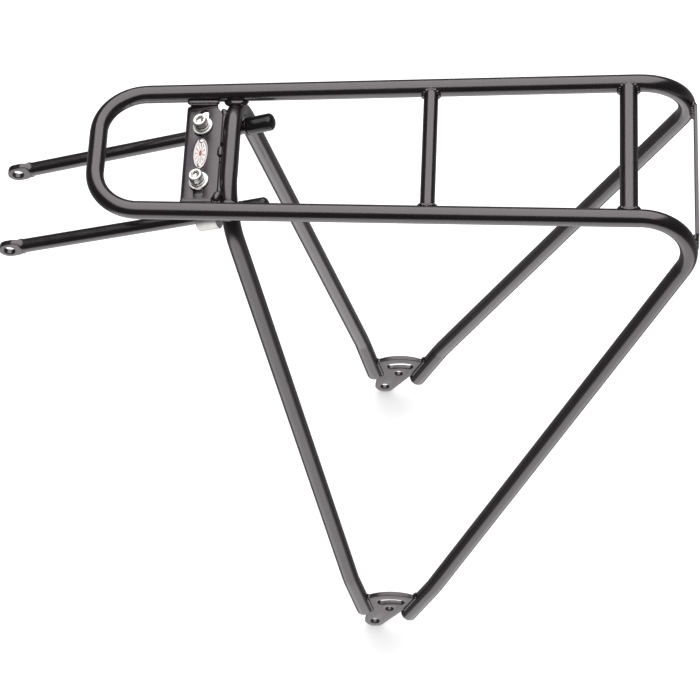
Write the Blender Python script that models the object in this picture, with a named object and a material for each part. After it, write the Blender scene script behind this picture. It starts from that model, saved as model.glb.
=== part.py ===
"""Rear bicycle carrier: bent-tube rack with two adjustable front stays.

Frame of the model, in metres:
    origin  midway between the two frame-bolt holes of the foot plates
    +X      towards the rear of the bicycle
    +Y      the rider's right-hand side, +Z up
Every length below is given in millimetres and turned into metres by MM.
"""
import math

import bmesh
import bpy
import numpy as np
from mathutils import Matrix, Vector

MM = 0.001
GAP = 0.3                      # clearance left between pieces that touch

# ---- platform: one long tube from foot to foot, seen from above a narrow loop
TUBE_R = 5.0                   # 10 mm tube
DECK_Z = 367.2                 # height of the rails' centre line over the foot bolts
LOOP_X = -136.4                # centre line of the front loop
RAIL_HALF_FRONT = 38.94        # half spacing of the rails at the front loop
RAIL_SPLAY = 6.88 / 300.0      # the rails open towards the rear
RAIL_REAR_X = 204.4            # where the line of a rail meets the line of its rear leg
LOOP_BEND_R = 26.2
REAR_BEND_R = 26.8

# ---- feet
FOOT_HALF = 86.5               # half spacing of the foot plates' middle planes
REAR_KNEE = (37.7, 40.0)       # X, Z where the rear leg turns upright into the foot plane
REAR_END = (20.3, 6.1)
FRONT_KNEE = (-12.0, 49.7)
FRONT_END = (-5.5, 12.2)
KNEE_BEND_R = 40.0

# ---- front hoop: cross tube level with the rails, legs running down outside
HOOP_X = -62.8
HOOP_Z = DECK_Z - 1.0
HOOP_HALF = 39.5
HOOP_BEND_R = 27.6

# ---- rungs of the platform
MIDDLE_RUNG_X, MIDDLE_RUNG_R = 46.5, 4.05
REAR_RUNG_X, REAR_RUNG_R = 155.2, 5.0

# ---- front bracket, folded from sheet and sloping down to the front
SHEET = 2.5
BRACKET_REAR_X = HOOP_X - TUBE_R - GAP - 0.5   # the lower rear edge leans back to the tube
BRACKET_TOP_Z = DECK_Z         # its upper face at the rear edge
BRACKET_TILT = math.radians(13.0)
WEB_LENGTH = 21.8
WEB_HALF = 34.5
CORNER_CUT = (3.7, 7.0)        # chamfer of the rear corners: along the slope, across
LIP_DEPTH = 6.5                # front edge folded down
FLANGE_SHEET = 2.0             # side flanges folded up to the rails
SLOT_ALONG = 10.8              # slots and bolts, measured down the slope
SLOT_HALF_WIDTH = 2.8
SLOT_INNER, SLOT_OUTER = 12.2, 30.6

# ---- bolts and washers of the stay clamps
BOLT_Y = 18.75
BOLT_R = 2.5
BOLT_LENGTH = 25.0
HEAD_R, HEAD_H = 3.9, 4.55
SOCKET_FLATS, SOCKET_DEPTH = 4.0, 2.4
WASHER_R, WASHER_BORE_R, WASHER_H = 5.75, 2.8, 1.1
LOCK_R, LOCK_BORE_R, LOCK_H = 4.4, 2.8, 1.0
LOCK_SPLIT = math.radians(14.0)

# ---- badge between the bolts
BADGE_HALF = (4.1, 10.3)       # half width along the slope, half length across
BADGE_H = 0.8
RIVET_Y, RIVET_R, RIVET_SHANK_R, RIVET_H = 8.2, 1.3, 0.7, 0.55

# ---- stays
STAY_R = 3.85
STAY_FRONT = (-188.7, 26.4, 313.4)   # on the rod's axis, level with the eye
STAY_REAR = (-46.4, 28.7, 354.9)     # another point of the axis
STAY_TAIL = 151.5              # rod end, measured from STAY_FRONT along the axis
EYE_R, EYE_H, EYE_HOLE_R = 5.8, 3.4, 3.0
EYE_DROP = 0.3                 # the pressed eye sits a little under the rod's axis
EYE_AHEAD = 1.4                # and a little in front of STAY_FRONT
CAP_R = 5.05
CAP_LENGTH = 17.0
CAP_MOUTH = 137.4              # cap's open end, from STAY_FRONT along the axis

# ---- clamp blocks
CLAMP_WIDTH = 12.0             # along the stay
CLAMP_BOSS_R = 8.2
CLAMP_INNER = 12.6             # inner end of the arms
CLAMP_SHOULDER = 25.6          # outer end of the seat under the bracket
CLAMP_ARM_H = 6.0              # lower arm
SLIT = 1.4
BORE_GAP = 0.25

# ---- foot plates
FOOT_SHEET = 3.0
FOOT_BOLT_R = 2.75
FOOT_LOBE_R = 6.3
SMALL_HOLE = (9.7, 15.2)
SMALL_HOLE_R = 2.5
ARCH_TOP = (11.0, 31.6)        # crown of the arched upper edge
ARCH_R = 26.5
FOOT_SLOT_R = 18.8             # the slot follows the arch, about the same centre
FOOT_SLOT_HALF_WIDTH = 2.7
FOOT_SLOT_HALF_LENGTH = 5.6

# ---- light bracket behind the rear bends
LIGHT_SHEET = 2.0
LIGHT_HALF = 44.9
LIGHT_TOP = DECK_Z - 16.5
LIGHT_HEIGHT = 15.4
LIGHT_REAR_X = 193.2
LIGHT_HOLE_R = 2.75
LIGHT_HOLE_PITCH = 50.0

TUBE_RES = 4                   # 12 sides
SIDES = 24


# ---------------------------------------------------------------- helpers
def clear_scene():
    """Start from nothing."""
    for old in list(bpy.data.objects):
        bpy.data.objects.remove(old, do_unlink=True)


def finish(name, colour, roughness, metallic):
    """A material of its own for one sub-part."""
    mat = bpy.data.materials.new(name)
    mat.use_nodes = True
    shader = mat.node_tree.nodes["Principled BSDF"]
    shader.inputs["Base Color"].default_value = (*colour, 1.0)
    shader.inputs["Roughness"].default_value = roughness
    shader.inputs["Metallic"].default_value = metallic
    return mat


def black_coat(name):
    """Satin black powder coat."""
    return finish(name, (0.022, 0.019, 0.020), 0.38, 0.0)


def bright_steel(name):
    """Bright stainless steel."""
    return finish(name, (0.78, 0.77, 0.75), 0.28, 1.0)


def place(obj, mat):
    """Link an object to the scene with its one material."""
    obj.data.materials.append(mat)
    bpy.context.scene.collection.objects.link(obj)
    return obj


def as_cutter(obj):
    """Mark a helper shape that only cuts or joins."""
    obj.hide_render = True
    obj.display_type = 'WIRE'
    bpy.context.scene.collection.objects.link(obj)
    return obj


def boolean(obj, other, operation):
    """Exact Boolean against a helper shape."""
    mod = obj.modifiers.new(operation.title(), 'BOOLEAN')
    mod.operation = operation
    mod.solver = 'EXACT'
    mod.object = other


def bend_path(corners, radii, step=math.radians(10.0)):
    """Centre line of a bent tube: straight runs joined by arcs at the corners."""
    corners = [Vector(c) for c in corners]
    path = [corners[0]]
    for before, corner, after, radius in zip(corners, corners[1:], corners[2:], radii):
        to_before = (before - corner).normalized()
        to_after = (after - corner).normalized()
        half = to_before.angle(to_after) / 2.0
        centre = corner + (to_before + to_after).normalized() * (radius / math.sin(half))
        start = corner + to_before * (radius / math.tan(half)) - centre
        turn = start.rotation_difference(corner + to_after * (radius / math.tan(half)) - centre)
        steps = max(2, round(turn.angle / step))
        for i in range(steps + 1):
            part = Matrix.Rotation(turn.angle * i / steps, 3, turn.axis)
            path.append(centre + part @ start)
    path.append(corners[-1])
    return path


def rounded_ends(path, radius):
    """Points and bevel scales of a tube whose two ends are closed and rounded."""
    edge = 0.42 * radius
    first = (path[1] - path[0]).normalized()
    last = (path[-1] - path[-2]).normalized()
    points = [path[0], path[0] + first * edge * 0.3, path[0] + first * edge]
    points += path[1:-1]
    points += [path[-1] - last * edge, path[-1] - last * edge * 0.3, path[-1]]
    scales = [0.58, 0.84, 1.0] + [1.0] * (len(path) - 2) + [1.0, 0.84, 0.58]
    return points, scales


def tube(name, points, radius, mat, scales=None):
    """A round bar along a path: a poly curve with a round bevel and filled caps."""
    data = bpy.data.curves.new(name, 'CURVE')
    data.dimensions = '3D'
    data.bevel_depth = radius * MM
    data.bevel_resolution = TUBE_RES
    data.use_fill_caps = True
    spline = data.splines.new('POLY')
    spline.points.add(len(points) - 1)
    for i, point in enumerate(points):
        spline.points[i].co = (*(Vector(point) * MM), 1.0)
        spline.points[i].radius = scales[i] if scales else 1.0
    spline.use_smooth = True
    return place(bpy.data.objects.new(name, data), mat)


def frame(origin, x_axis, y_axis):
    """Matrix of a local frame, its origin in millimetres and its Z along x cross y."""
    x_axis = Vector(x_axis).normalized()
    y_axis = Vector(y_axis)
    y_axis = (y_axis - x_axis * y_axis.dot(x_axis)).normalized()
    z_axis = x_axis.cross(y_axis)
    turn = Matrix((x_axis, y_axis, z_axis)).transposed().to_4x4()
    return Matrix.Translation(Vector(origin) * MM) @ turn


def circle(centre, radius, sides=SIDES, start=0.0, stop=2.0 * math.pi):
    """Points of a circle or an arc in a plane; a full circle isn't closed twice."""
    full = abs(stop - start) > 2.0 * math.pi - 1e-6
    count = sides if full else sides + 1
    return [(centre[0] + radius * math.cos(start + (stop - start) * i / sides),
             centre[1] + radius * math.sin(start + (stop - start) * i / sides))
            for i in range(count)]


def smooth(mesh, angle=math.radians(35.0)):
    """Shade the round stretches smooth and keep the real edges sharp."""
    mesh.shade_smooth()
    mesh.set_sharp_from_angle(angle=angle)


def plate_mesh(name, outline, holes, low, high):
    """A flat plate with holes, from z = low to z = high of its own frame."""
    bm = bmesh.new()
    edges = []
    for loop in [outline] + list(holes):
        verts = [bm.verts.new((x * MM, y * MM, low * MM)) for x, y in loop]
        edges += [bm.edges.new((verts[i - 1], verts[i])) for i in range(len(verts))]
    filled = bmesh.ops.triangle_fill(bm, use_beauty=True, edges=edges, normal=(0, 0, -1))
    faces = [g for g in filled["geom"] if isinstance(g, bmesh.types.BMFace)]
    risen = bmesh.ops.extrude_face_region(bm, geom=faces)
    top = [g for g in risen["geom"] if isinstance(g, bmesh.types.BMVert)]
    bmesh.ops.translate(bm, vec=(0, 0, (high - low) * MM), verts=top)
    bmesh.ops.recalc_face_normals(bm, faces=bm.faces)
    mesh = bpy.data.meshes.new(name)
    bm.to_mesh(mesh)
    bm.free()
    smooth(mesh)
    return mesh


def turned_mesh(name, profile, sides=SIDES):
    """A turned piece: a closed (radius, height) profile carried round the Z axis.

    Points of radius 0 become one vertex on the axis.
    """
    bm = bmesh.new()
    rings = []
    for radius, height in profile:
        if radius < 1e-9:
            rings.append([bm.verts.new((0, 0, height * MM))] * sides)
        else:
            rings.append([bm.verts.new((x * MM, y * MM, height * MM))
                          for x, y in circle((0, 0), radius, sides)])
    closed = profile[0][0] > 1e-9
    pairs = list(zip(rings, rings[1:])) + ([(rings[-1], rings[0])] if closed else [])
    for low, high in pairs:
        for i in range(sides):
            j = (i + 1) % sides
            corners = [low[i], low[j], high[j], high[i]]
            unique = list(dict.fromkeys(corners))
            bm.faces.new(unique)
    bmesh.ops.recalc_face_normals(bm, faces=bm.faces)
    mesh = bpy.data.meshes.new(name)
    bm.to_mesh(mesh)
    bm.free()
    smooth(mesh)
    return mesh


def piece(name, mesh, matrix, mat):
    """An object from a mesh, placed by its matrix."""
    obj = bpy.data.objects.new(name, mesh)
    obj.matrix_world = matrix
    return place(obj, mat)


def helper(name, mesh, matrix):
    """A cutter or a joining shape, placed by its matrix."""
    obj = bpy.data.objects.new(name, mesh)
    obj.matrix_world = matrix
    return as_cutter(obj)


# ---------------------------------------------------------------- tubes
def rail_half(x):
    """Half spacing of the rails' centre lines at a place along the rack."""
    return RAIL_HALF_FRONT + (x - LOOP_X) * RAIL_SPLAY


def main_tube():
    """Foot, rear leg, rail, front loop, rail, rear leg, foot: one bent tube."""
    side = [(REAR_END[0], FOOT_HALF, REAR_END[1]),
            (REAR_KNEE[0], FOOT_HALF, REAR_KNEE[1]),
            (RAIL_REAR_X, rail_half(RAIL_REAR_X), DECK_Z),
            (LOOP_X, RAIL_HALF_FRONT, DECK_Z)]
    corners = [(x, -y, z) for x, y, z in side] + side[::-1]
    radii = [KNEE_BEND_R, REAR_BEND_R, LOOP_BEND_R, LOOP_BEND_R, REAR_BEND_R, KNEE_BEND_R]
    points, scales = rounded_ends(bend_path(corners, radii), TUBE_R)
    return tube("main_tube", points, TUBE_R, black_coat("main_tube_coat"), scales)


def front_hoop():
    """Foot, front leg, cross tube, front leg, foot: the second bent tube."""
    side = [(FRONT_END[0], FOOT_HALF, FRONT_END[1]),
            (FRONT_KNEE[0], FOOT_HALF, FRONT_KNEE[1]),
            (HOOP_X, HOOP_HALF, HOOP_Z)]
    corners = [(x, -y, z) for x, y, z in side] + side[::-1]
    radii = [KNEE_BEND_R, HOOP_BEND_R, HOOP_BEND_R, KNEE_BEND_R]
    points, scales = rounded_ends(bend_path(corners, radii), TUBE_R)
    return tube("front_hoop", points, TUBE_R, black_coat("front_hoop_coat"), scales)


def rung(name, x, radius):
    """A straight cross bar butted between the two rails."""
    half = rail_half(x) - TUBE_R - GAP
    return tube(name, [(x, -half, DECK_Z), (x, half, DECK_Z)], radius, black_coat(name + "_coat"))


# ---------------------------------------------------------------- front bracket
DOWN_SLOPE = Vector((-math.cos(BRACKET_TILT), 0.0, -math.sin(BRACKET_TILT)))
OUT_OF_WEB = Vector((-math.sin(BRACKET_TILT), 0.0, math.cos(BRACKET_TILT)))
BRACKET_ORIGIN = Vector((BRACKET_REAR_X, 0.0, BRACKET_TOP_Z))


def on_web(along, across, height=0.0):
    """A point given down the slope, across to +Y and out of the web's upper face."""
    return BRACKET_ORIGIN + DOWN_SLOPE * along + Vector((0, across, 0)) + OUT_OF_WEB * height


def slot_outline():
    """A slot with round ends, along Y, at positive Y."""
    width = SLOT_HALF_WIDTH
    outer = circle((SLOT_ALONG, SLOT_OUTER - width), width, 10, 0.0, math.pi)
    inner = circle((SLOT_ALONG, SLOT_INNER + width), width, 10, math.pi, 2.0 * math.pi)
    return outer + inner


def front_bracket():
    """Slotted web, chamfered at the rear, with a folded lip and two side flanges."""
    cut_x, cut_y = CORNER_CUT
    half = [(0.0, WEB_HALF - cut_y), (cut_x, WEB_HALF), (WEB_LENGTH, WEB_HALF)]
    outline = half + [(x, -y) for x, y in half[::-1]]
    slot = slot_outline()
    mirrored = [(x, -y) for x, y in slot]
    # local X runs down the slope and local Y to -Y, so that local Z leaves the upper face
    web_frame = frame(BRACKET_ORIGIN, DOWN_SLOPE, (0, -1, 0))
    mesh = plate_mesh("front_bracket", outline, [slot, mirrored], -SHEET, 0.0)
    obj = piece("front_bracket", mesh, web_frame, black_coat("front_bracket_coat"))
    lip = [(WEB_LENGTH - SHEET, WEB_HALF), (WEB_LENGTH, WEB_HALF),
           (WEB_LENGTH, -WEB_HALF), (WEB_LENGTH - SHEET, -WEB_HALF)]
    lip_mesh = plate_mesh("lip", lip, [], -LIP_DEPTH, -SHEET * 0.5)
    boolean(obj, helper("lip_form", lip_mesh, web_frame), 'UNION')
    # a side flange is a slim wedge between the sloping web and the level rail
    front = on_web(WEB_LENGTH, 0.0, -SHEET)
    rear = on_web(cut_x, 0.0, -SHEET * 0.5)
    top = DECK_Z - 0.4
    wedge = [(front.x, front.z), (rear.x, rear.z), (rear.x, top), (front.x, top)]
    for side in (-1, 1):
        inner = side * (WEB_HALF - FLANGE_SHEET)
        low, high = sorted((-inner, -side * WEB_HALF))
        flange = plate_mesh("flange", wedge, [], low, high)
        form = helper("flange_form", flange, frame((0, 0, 0), (1, 0, 0), (0, 0, 1)))
        boolean(obj, form, 'UNION')
    return obj


def badge():
    """Oval plate riveted between the two bolts."""
    outline = [(BADGE_HALF[0] * math.cos(t), BADGE_HALF[1] * math.sin(t))
               for t in np.linspace(0.0, 2.0 * math.pi, 40, endpoint=False)]
    holes = [circle((0.0, side * RIVET_Y), RIVET_SHANK_R + GAP, 12) for side in (-1, 1)]
    mesh = plate_mesh("badge", outline, holes, GAP, GAP + BADGE_H)
    place_at = frame(on_web(SLOT_ALONG, 0.0), DOWN_SLOPE, (0, -1, 0))
    return piece("badge", mesh, place_at, finish("badge_plate", (0.80, 0.72, 0.72), 0.35, 0.6))


def badge_rivet(name, side):
    """Small domed rivet of the badge."""
    top = GAP + BADGE_H + GAP
    dome = [(RIVET_R * math.cos(t), top + RIVET_H * math.sin(t))
            for t in np.linspace(0.0, math.pi / 2.0, 5)]
    dome[-1] = (0.0, top + RIVET_H)
    profile = [(0.0, GAP), (RIVET_SHANK_R, GAP), (RIVET_SHANK_R, top)] + dome
    mesh = turned_mesh(name, profile, 12)
    place_at = frame(on_web(SLOT_ALONG, side * RIVET_Y), DOWN_SLOPE, (0, -1, 0))
    return piece(name, mesh, place_at, bright_steel(name + "_steel"))


# ---------------------------------------------------------------- bolts, washers
def bolt_frame(side):
    """Frame on a clamp bolt's axis, at the upper face of the bracket."""
    return frame(on_web(SLOT_ALONG, side * BOLT_Y), DOWN_SLOPE, (0, -1, 0))


WASHER_Z = GAP * 0.8
LOCK_Z = WASHER_Z + WASHER_H + GAP * 0.8
HEAD_Z = LOCK_Z + LOCK_H + GAP * 0.8


def flat_washer(name, side):
    """Plain washer over the slot."""
    low, high = WASHER_Z, WASHER_Z + WASHER_H
    profile = [(WASHER_BORE_R, low), (WASHER_R, low), (WASHER_R, high), (WASHER_BORE_R, high)]
    mesh = turned_mesh(name, profile)
    return piece(name, mesh, bolt_frame(side), bright_steel(name + "_steel"))


def lock_washer(name, side):
    """Split spring washer: a ring with a narrow gap."""
    start, stop = LOCK_SPLIT / 2.0, 2.0 * math.pi - LOCK_SPLIT / 2.0
    outer = circle((0, 0), LOCK_R, SIDES, start, stop)
    inner = circle((0, 0), LOCK_BORE_R, SIDES, start, stop)
    mesh = plate_mesh(name, outer + inner[::-1], [], LOCK_Z, LOCK_Z + LOCK_H)
    return piece(name, mesh, bolt_frame(side), bright_steel(name + "_steel"))


def clamp_bolt(name, side):
    """Socket head cap screw through the slot into the clamp block."""
    edge = 0.5
    top = HEAD_Z + HEAD_H
    profile = [(0.0, HEAD_Z - BOLT_LENGTH), (BOLT_R - edge, HEAD_Z - BOLT_LENGTH),
               (BOLT_R, HEAD_Z - BOLT_LENGTH + edge), (BOLT_R, HEAD_Z), (HEAD_R, HEAD_Z),
               (HEAD_R, top - edge), (HEAD_R - edge, top), (0.0, top)]
    obj = piece(name, turned_mesh(name, profile), bolt_frame(side), bright_steel(name + "_steel"))
    across_corners = SOCKET_FLATS / math.cos(math.pi / 6.0) / 2.0
    socket = plate_mesh("socket", circle((0, 0), across_corners, 6), [], top - SOCKET_DEPTH, top + 1.0)
    boolean(obj, helper(name + "_socket", socket, bolt_frame(side)), 'DIFFERENCE')
    return obj


# ---------------------------------------------------------------- stays
def mirrored(point, side):
    """A right-hand point, or its mirror image on the left."""
    return Vector((point[0], side * point[1], point[2]))


def stay_frame(side):
    """Frame on a stay's axis at the eye: local X runs back along the rod, local Z outwards."""
    start = mirrored(STAY_FRONT, side)
    along = mirrored(STAY_REAR, side) - start
    upward = Vector((0, 0, 1)) * side
    return frame(start, along, -upward)


def stay_rod(name, side):
    """Rod whose front end is pressed flat and pierced for a bolt."""
    place_at = stay_frame(side)
    stations = [(1.0, 0.98 * EYE_R, 0.49 * EYE_H, EYE_DROP), (4.6, 5.4, 0.5 * EYE_H, EYE_DROP),
                (6.4, 4.8, 3.2, EYE_DROP * 0.5), (8.0, 4.3, 3.9, EYE_DROP * 0.2),
                (10.0, STAY_R, STAY_R, 0.0), (STAY_TAIL - 0.8, STAY_R, STAY_R, 0.0),
                (STAY_TAIL, STAY_R - 0.8, STAY_R - 0.8, 0.0)]
    bm = bmesh.new()
    rings = []
    for along, tall, wide, drop in stations:
        ring = [bm.verts.new((along * MM, (drop * side + tall * y) * MM, wide * z * MM))
                for y, z in circle((0, 0), 1.0, 16)]
        rings.append(ring)
    for low, high in zip(rings, rings[1:]):
        for i in range(16):
            bm.faces.new((low[i - 1], low[i], high[i], high[i - 1]))
    bm.faces.new(rings[0])
    bm.faces.new(rings[-1])
    bmesh.ops.recalc_face_normals(bm, faces=bm.faces)
    mesh = bpy.data.meshes.new(name)
    bm.to_mesh(mesh)
    bm.free()
    smooth(mesh)
    obj = piece(name, mesh, place_at, black_coat(name + "_coat"))
    eye = plate_mesh("eye", circle((-EYE_AHEAD, EYE_DROP * side), EYE_R, 32), [], -EYE_H / 2.0, EYE_H / 2.0)
    boolean(obj, helper(name + "_eye", eye, place_at), 'UNION')
    hole = plate_mesh("eye_hole", circle((-EYE_AHEAD, EYE_DROP * side), EYE_HOLE_R, 20), [], -8.0, 8.0)
    boolean(obj, helper(name + "_hole", hole, place_at), 'DIFFERENCE')
    return obj


def stay_cap(name, side):
    """Round plastic cap pushed over the tail of a stay."""
    wall = STAY_R + BORE_GAP
    tail = STAY_TAIL - CAP_MOUTH + GAP
    dome = [(CAP_R * math.cos(t), CAP_LENGTH - CAP_R * 0.62 + CAP_R * 0.62 * math.sin(t))
            for t in np.linspace(0.0, math.pi / 2.0, 6)]
    dome[-1] = (0.0, CAP_LENGTH)
    profile = [(0.0, tail), (wall, tail), (wall, 0.0), (CAP_R - 0.3, 0.0), (CAP_R, 0.4)] + dome
    turn = stay_frame(side) @ Matrix.Translation((CAP_MOUTH * MM, 0, 0))
    turn = turn @ Matrix.Rotation(math.pi / 2.0, 4, 'Y')
    mat = finish(name + "_plastic", (0.012, 0.011, 0.012), 0.16, 0.0)
    return piece(name, turned_mesh(name, profile), turn, mat)


# ---------------------------------------------------------------- clamp blocks
def stay_in_web_frame():
    """Where the stay's axis crosses the plane of the bolts: (across, height) over the web."""
    start = Vector(STAY_FRONT)
    along = (Vector(STAY_REAR) - start).normalized()
    distance = (on_web(SLOT_ALONG, 0.0) - start).dot(DOWN_SLOPE) / along.dot(DOWN_SLOPE)
    point = start + along * distance - BRACKET_ORIGIN
    return point.y, point.dot(OUT_OF_WEB)


def clamp_block(name, side):
    """Split block: one bolt holds it under the slot and pinches it on the stay."""
    across, height = stay_in_web_frame()
    seat = -SHEET - GAP
    boss = (across, height)
    slit_top = height + 2.6
    arm_low = slit_top - SLIT - CLAMP_ARM_H
    # the outline starts at the seat's inner end and runs round the boss
    outer = circle(boss, CLAMP_BOSS_R, 20, math.radians(42.0), math.radians(-115.0))
    outline = [(CLAMP_INNER, seat), (CLAMP_SHOULDER, seat)] + outer
    outline += [(CLAMP_INNER + 1.0, arm_low), (CLAMP_INNER, arm_low + 1.0),
                (CLAMP_INNER, slit_top - SLIT), (across - STAY_R * 0.6, slit_top - SLIT),
                (across - STAY_R * 0.6, slit_top), (CLAMP_INNER, slit_top)]
    # local X across to this side, local Y out of the web, local Z along the slope
    place_at = frame(on_web(SLOT_ALONG, 0.0), (0, side, 0), OUT_OF_WEB)
    mesh = plate_mesh(name, outline, [], -CLAMP_WIDTH / 2.0, CLAMP_WIDTH / 2.0)
    mat = finish(name + "_alloy", (0.80, 0.79, 0.77), 0.32, 1.0)
    obj = piece(name, mesh, place_at, mat)
    long_bore = plate_mesh("bore", circle((0, 0), STAY_R + BORE_GAP, SIDES), [], 60.0, 180.0)
    turn = stay_frame(side) @ Matrix.Rotation(math.pi / 2.0, 4, 'Y')
    boolean(obj, helper(name + "_bore", long_bore, turn), 'DIFFERENCE')
    thread = plate_mesh("thread", circle((0, 0), BOLT_R + BORE_GAP, 16), [], -60.0, 5.0)
    boolean(obj, helper(name + "_thread", thread, bolt_frame(side)), 'DIFFERENCE')
    return obj


# ---------------------------------------------------------------- foot plates
def offset_point(end, knee, along, sideways):
    """A point beside a leg's foot: measured from its end towards the knee and across."""
    direction = (Vector(knee) - Vector(end)).normalized()
    normal = Vector((direction.y, -direction.x))
    return Vector(end) + direction * along + normal * sideways


def foot_outline():
    """Plate between the two leg ends, drawn down into the lobe of the frame bolt."""
    beside = TUBE_R + GAP
    arch_centre = Vector((ARCH_TOP[0], ARCH_TOP[1] - ARCH_R))
    front_low = offset_point(FRONT_END, FRONT_KNEE, -0.4, beside)
    rear_low = offset_point(REAR_END, REAR_KNEE, 5.2, -beside)
    # the arch starts and ends on the lines beside the legs
    front_high = offset_point(FRONT_END, FRONT_KNEE, 15.6, beside)
    rear_high = offset_point(REAR_END, REAR_KNEE, 24.4, -beside)
    start = math.atan2(*(rear_high - arch_centre).yx)
    stop = math.atan2(*(front_high - arch_centre).yx)
    arch = circle(arch_centre, ARCH_R, 10, start, stop)
    under_leg = (FRONT_END[0] + 1.2, FRONT_END[1] - 1.6)
    lobe = circle((0.0, 0.0), FOOT_LOBE_R, 14, math.radians(186.0), math.radians(326.0))
    return arch[1:-1] + [tuple(front_high), tuple(front_low), under_leg] + lobe + [
        tuple(rear_low), tuple(rear_high)]


def foot_slot():
    """Curved slot that follows the arch."""
    centre = Vector((ARCH_TOP[0], ARCH_TOP[1] - ARCH_R))
    half = FOOT_SLOT_HALF_LENGTH / FOOT_SLOT_R
    low, high = math.pi / 2.0 - half, math.pi / 2.0 + half
    width = FOOT_SLOT_HALF_WIDTH
    ends = []
    for angle, turn in ((high, 0.0), (low, -math.pi)):
        middle = centre + Vector((math.cos(angle), math.sin(angle))) * FOOT_SLOT_R
        ends.append(circle(middle, width, 6, angle + turn, angle + turn + math.pi))
    top = circle(centre, FOOT_SLOT_R + width, 6, low, high)
    bottom = circle(centre, FOOT_SLOT_R - width, 6, high, low)
    return top[1:-1] + ends[0] + bottom[1:-1] + ends[1]


def foot_plate(name, side):
    """Foot plate in its upright plane, drawn in X and Z."""
    holes = [circle((0.0, 0.0), FOOT_BOLT_R, 20), circle(SMALL_HOLE, SMALL_HOLE_R, 20), foot_slot()]
    mesh = plate_mesh(name, foot_outline(), holes, -FOOT_SHEET / 2.0, FOOT_SHEET / 2.0)
    place_at = frame((0.0, side * FOOT_HALF, 0.0), (1, 0, 0), (0, 0, 1))
    return piece(name, mesh, place_at, black_coat(name + "_coat"))


# ---------------------------------------------------------------- light bracket
def light_bracket():
    """Upright strap across the rear bends, its ends folded forward."""
    front = LIGHT_REAR_X - LIGHT_SHEET
    low = LIGHT_TOP - LIGHT_HEIGHT
    outline = [(-LIGHT_HALF, low), (LIGHT_HALF, low), (LIGHT_HALF, LIGHT_TOP), (-LIGHT_HALF, LIGHT_TOP)]
    middle = LIGHT_TOP - LIGHT_HEIGHT / 2.0
    holes = [circle((side * LIGHT_HOLE_PITCH / 2.0, middle), LIGHT_HOLE_R, 16) for side in (-1, 1)]
    mesh = plate_mesh("light_bracket", outline, holes, 0.0, LIGHT_SHEET)
    place_at = frame((front, 0.0, 0.0), (0, 1, 0), (0, 0, 1))
    return piece("light_bracket", mesh, place_at, black_coat("light_bracket_coat"))


# ---------------------------------------------------------------- assembly
def build():
    """Model every piece of the carrier."""
    clear_scene()
    main_tube()
    front_hoop()
    rung("middle_rung", MIDDLE_RUNG_X, MIDDLE_RUNG_R)
    rung("rear_rung", REAR_RUNG_X, REAR_RUNG_R)
    front_bracket()
    light_bracket()
    badge()
    for word, side in (("left", -1), ("right", 1)):
        foot_plate(word + "_foot_plate", side)
        badge_rivet(word + "_badge_rivet", side)
        stay_rod(word + "_stay", side)
        stay_cap(word + "_stay_cap", side)
        clamp_block(word + "_clamp_block", side)
        clamp_bolt(word + "_clamp_bolt", side)
        flat_washer(word + "_flat_washer", side)
        lock_washer(word + "_lock_washer", side)


build()
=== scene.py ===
# %% [markdown]
# # A black tubular rear carrier for a bicycle
# The carrier is two bent tubes, two rungs, a slotted bracket, two sliding stays and two foot plates.
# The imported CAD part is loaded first. It fixes every size, every joint and the overall box, and each
# visual piece made below stands for one CAD node or adds a detail, such as a weld, to it.

import math

import bmesh
import bpy
import numpy as np
from mathutils import Matrix, Vector


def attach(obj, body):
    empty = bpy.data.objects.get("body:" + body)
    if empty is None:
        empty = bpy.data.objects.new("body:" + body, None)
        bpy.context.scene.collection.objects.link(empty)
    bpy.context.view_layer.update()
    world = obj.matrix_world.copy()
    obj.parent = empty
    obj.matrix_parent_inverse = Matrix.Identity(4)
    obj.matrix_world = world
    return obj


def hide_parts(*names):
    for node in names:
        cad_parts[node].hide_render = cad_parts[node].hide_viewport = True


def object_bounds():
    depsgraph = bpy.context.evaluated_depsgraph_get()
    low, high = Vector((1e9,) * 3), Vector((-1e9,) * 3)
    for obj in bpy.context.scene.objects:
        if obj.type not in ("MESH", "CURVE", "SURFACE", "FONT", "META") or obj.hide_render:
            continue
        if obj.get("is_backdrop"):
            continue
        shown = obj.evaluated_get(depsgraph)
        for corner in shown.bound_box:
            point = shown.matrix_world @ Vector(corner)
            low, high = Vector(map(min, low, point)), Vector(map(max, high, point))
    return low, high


MM = 0.001
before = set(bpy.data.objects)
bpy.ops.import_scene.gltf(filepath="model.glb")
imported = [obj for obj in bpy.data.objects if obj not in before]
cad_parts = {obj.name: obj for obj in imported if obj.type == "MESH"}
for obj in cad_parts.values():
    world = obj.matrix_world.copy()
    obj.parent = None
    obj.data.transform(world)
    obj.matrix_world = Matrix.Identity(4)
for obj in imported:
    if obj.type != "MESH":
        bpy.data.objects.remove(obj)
cad_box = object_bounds()
print("CAD box, mm", [round(v / MM, 1) for c in cad_box for v in c])

# %% [markdown]
# ## Sizes
# All lengths are in millimetres in the carrier's own frame: +X to the rear of the bicycle, +Y to the
# rider's right, +Z up, and the origin midway between the two frame-bolt holes.

# %% Common sizes
GAP = 0.3
TUBE_R = 5.0
SIDES = {"left": -1, "right": 1}
DECK_Z = 367.2
print("deck height", DECK_Z, "mm, tube", 2 * TUBE_R, "mm")

# %% [markdown]
# ## Meshes from grids
# Almost everything here is a grid of points: rings swept along a path, or a profile turned round an
# axis. One function makes the mesh from such a grid and stores UVs that run round and along it in
# millimetres, so that materials can follow a tube or a turned face. Primitives could be bent and
# scaled instead, but a grid keeps exact sizes and even faces.

# %% Unit vectors and smooth shading
def unit(v):
    """v divided by its length, along the last axis."""
    v = np.asarray(v, float)
    return v / np.linalg.norm(v, axis=-1, keepdims=True)


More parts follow.
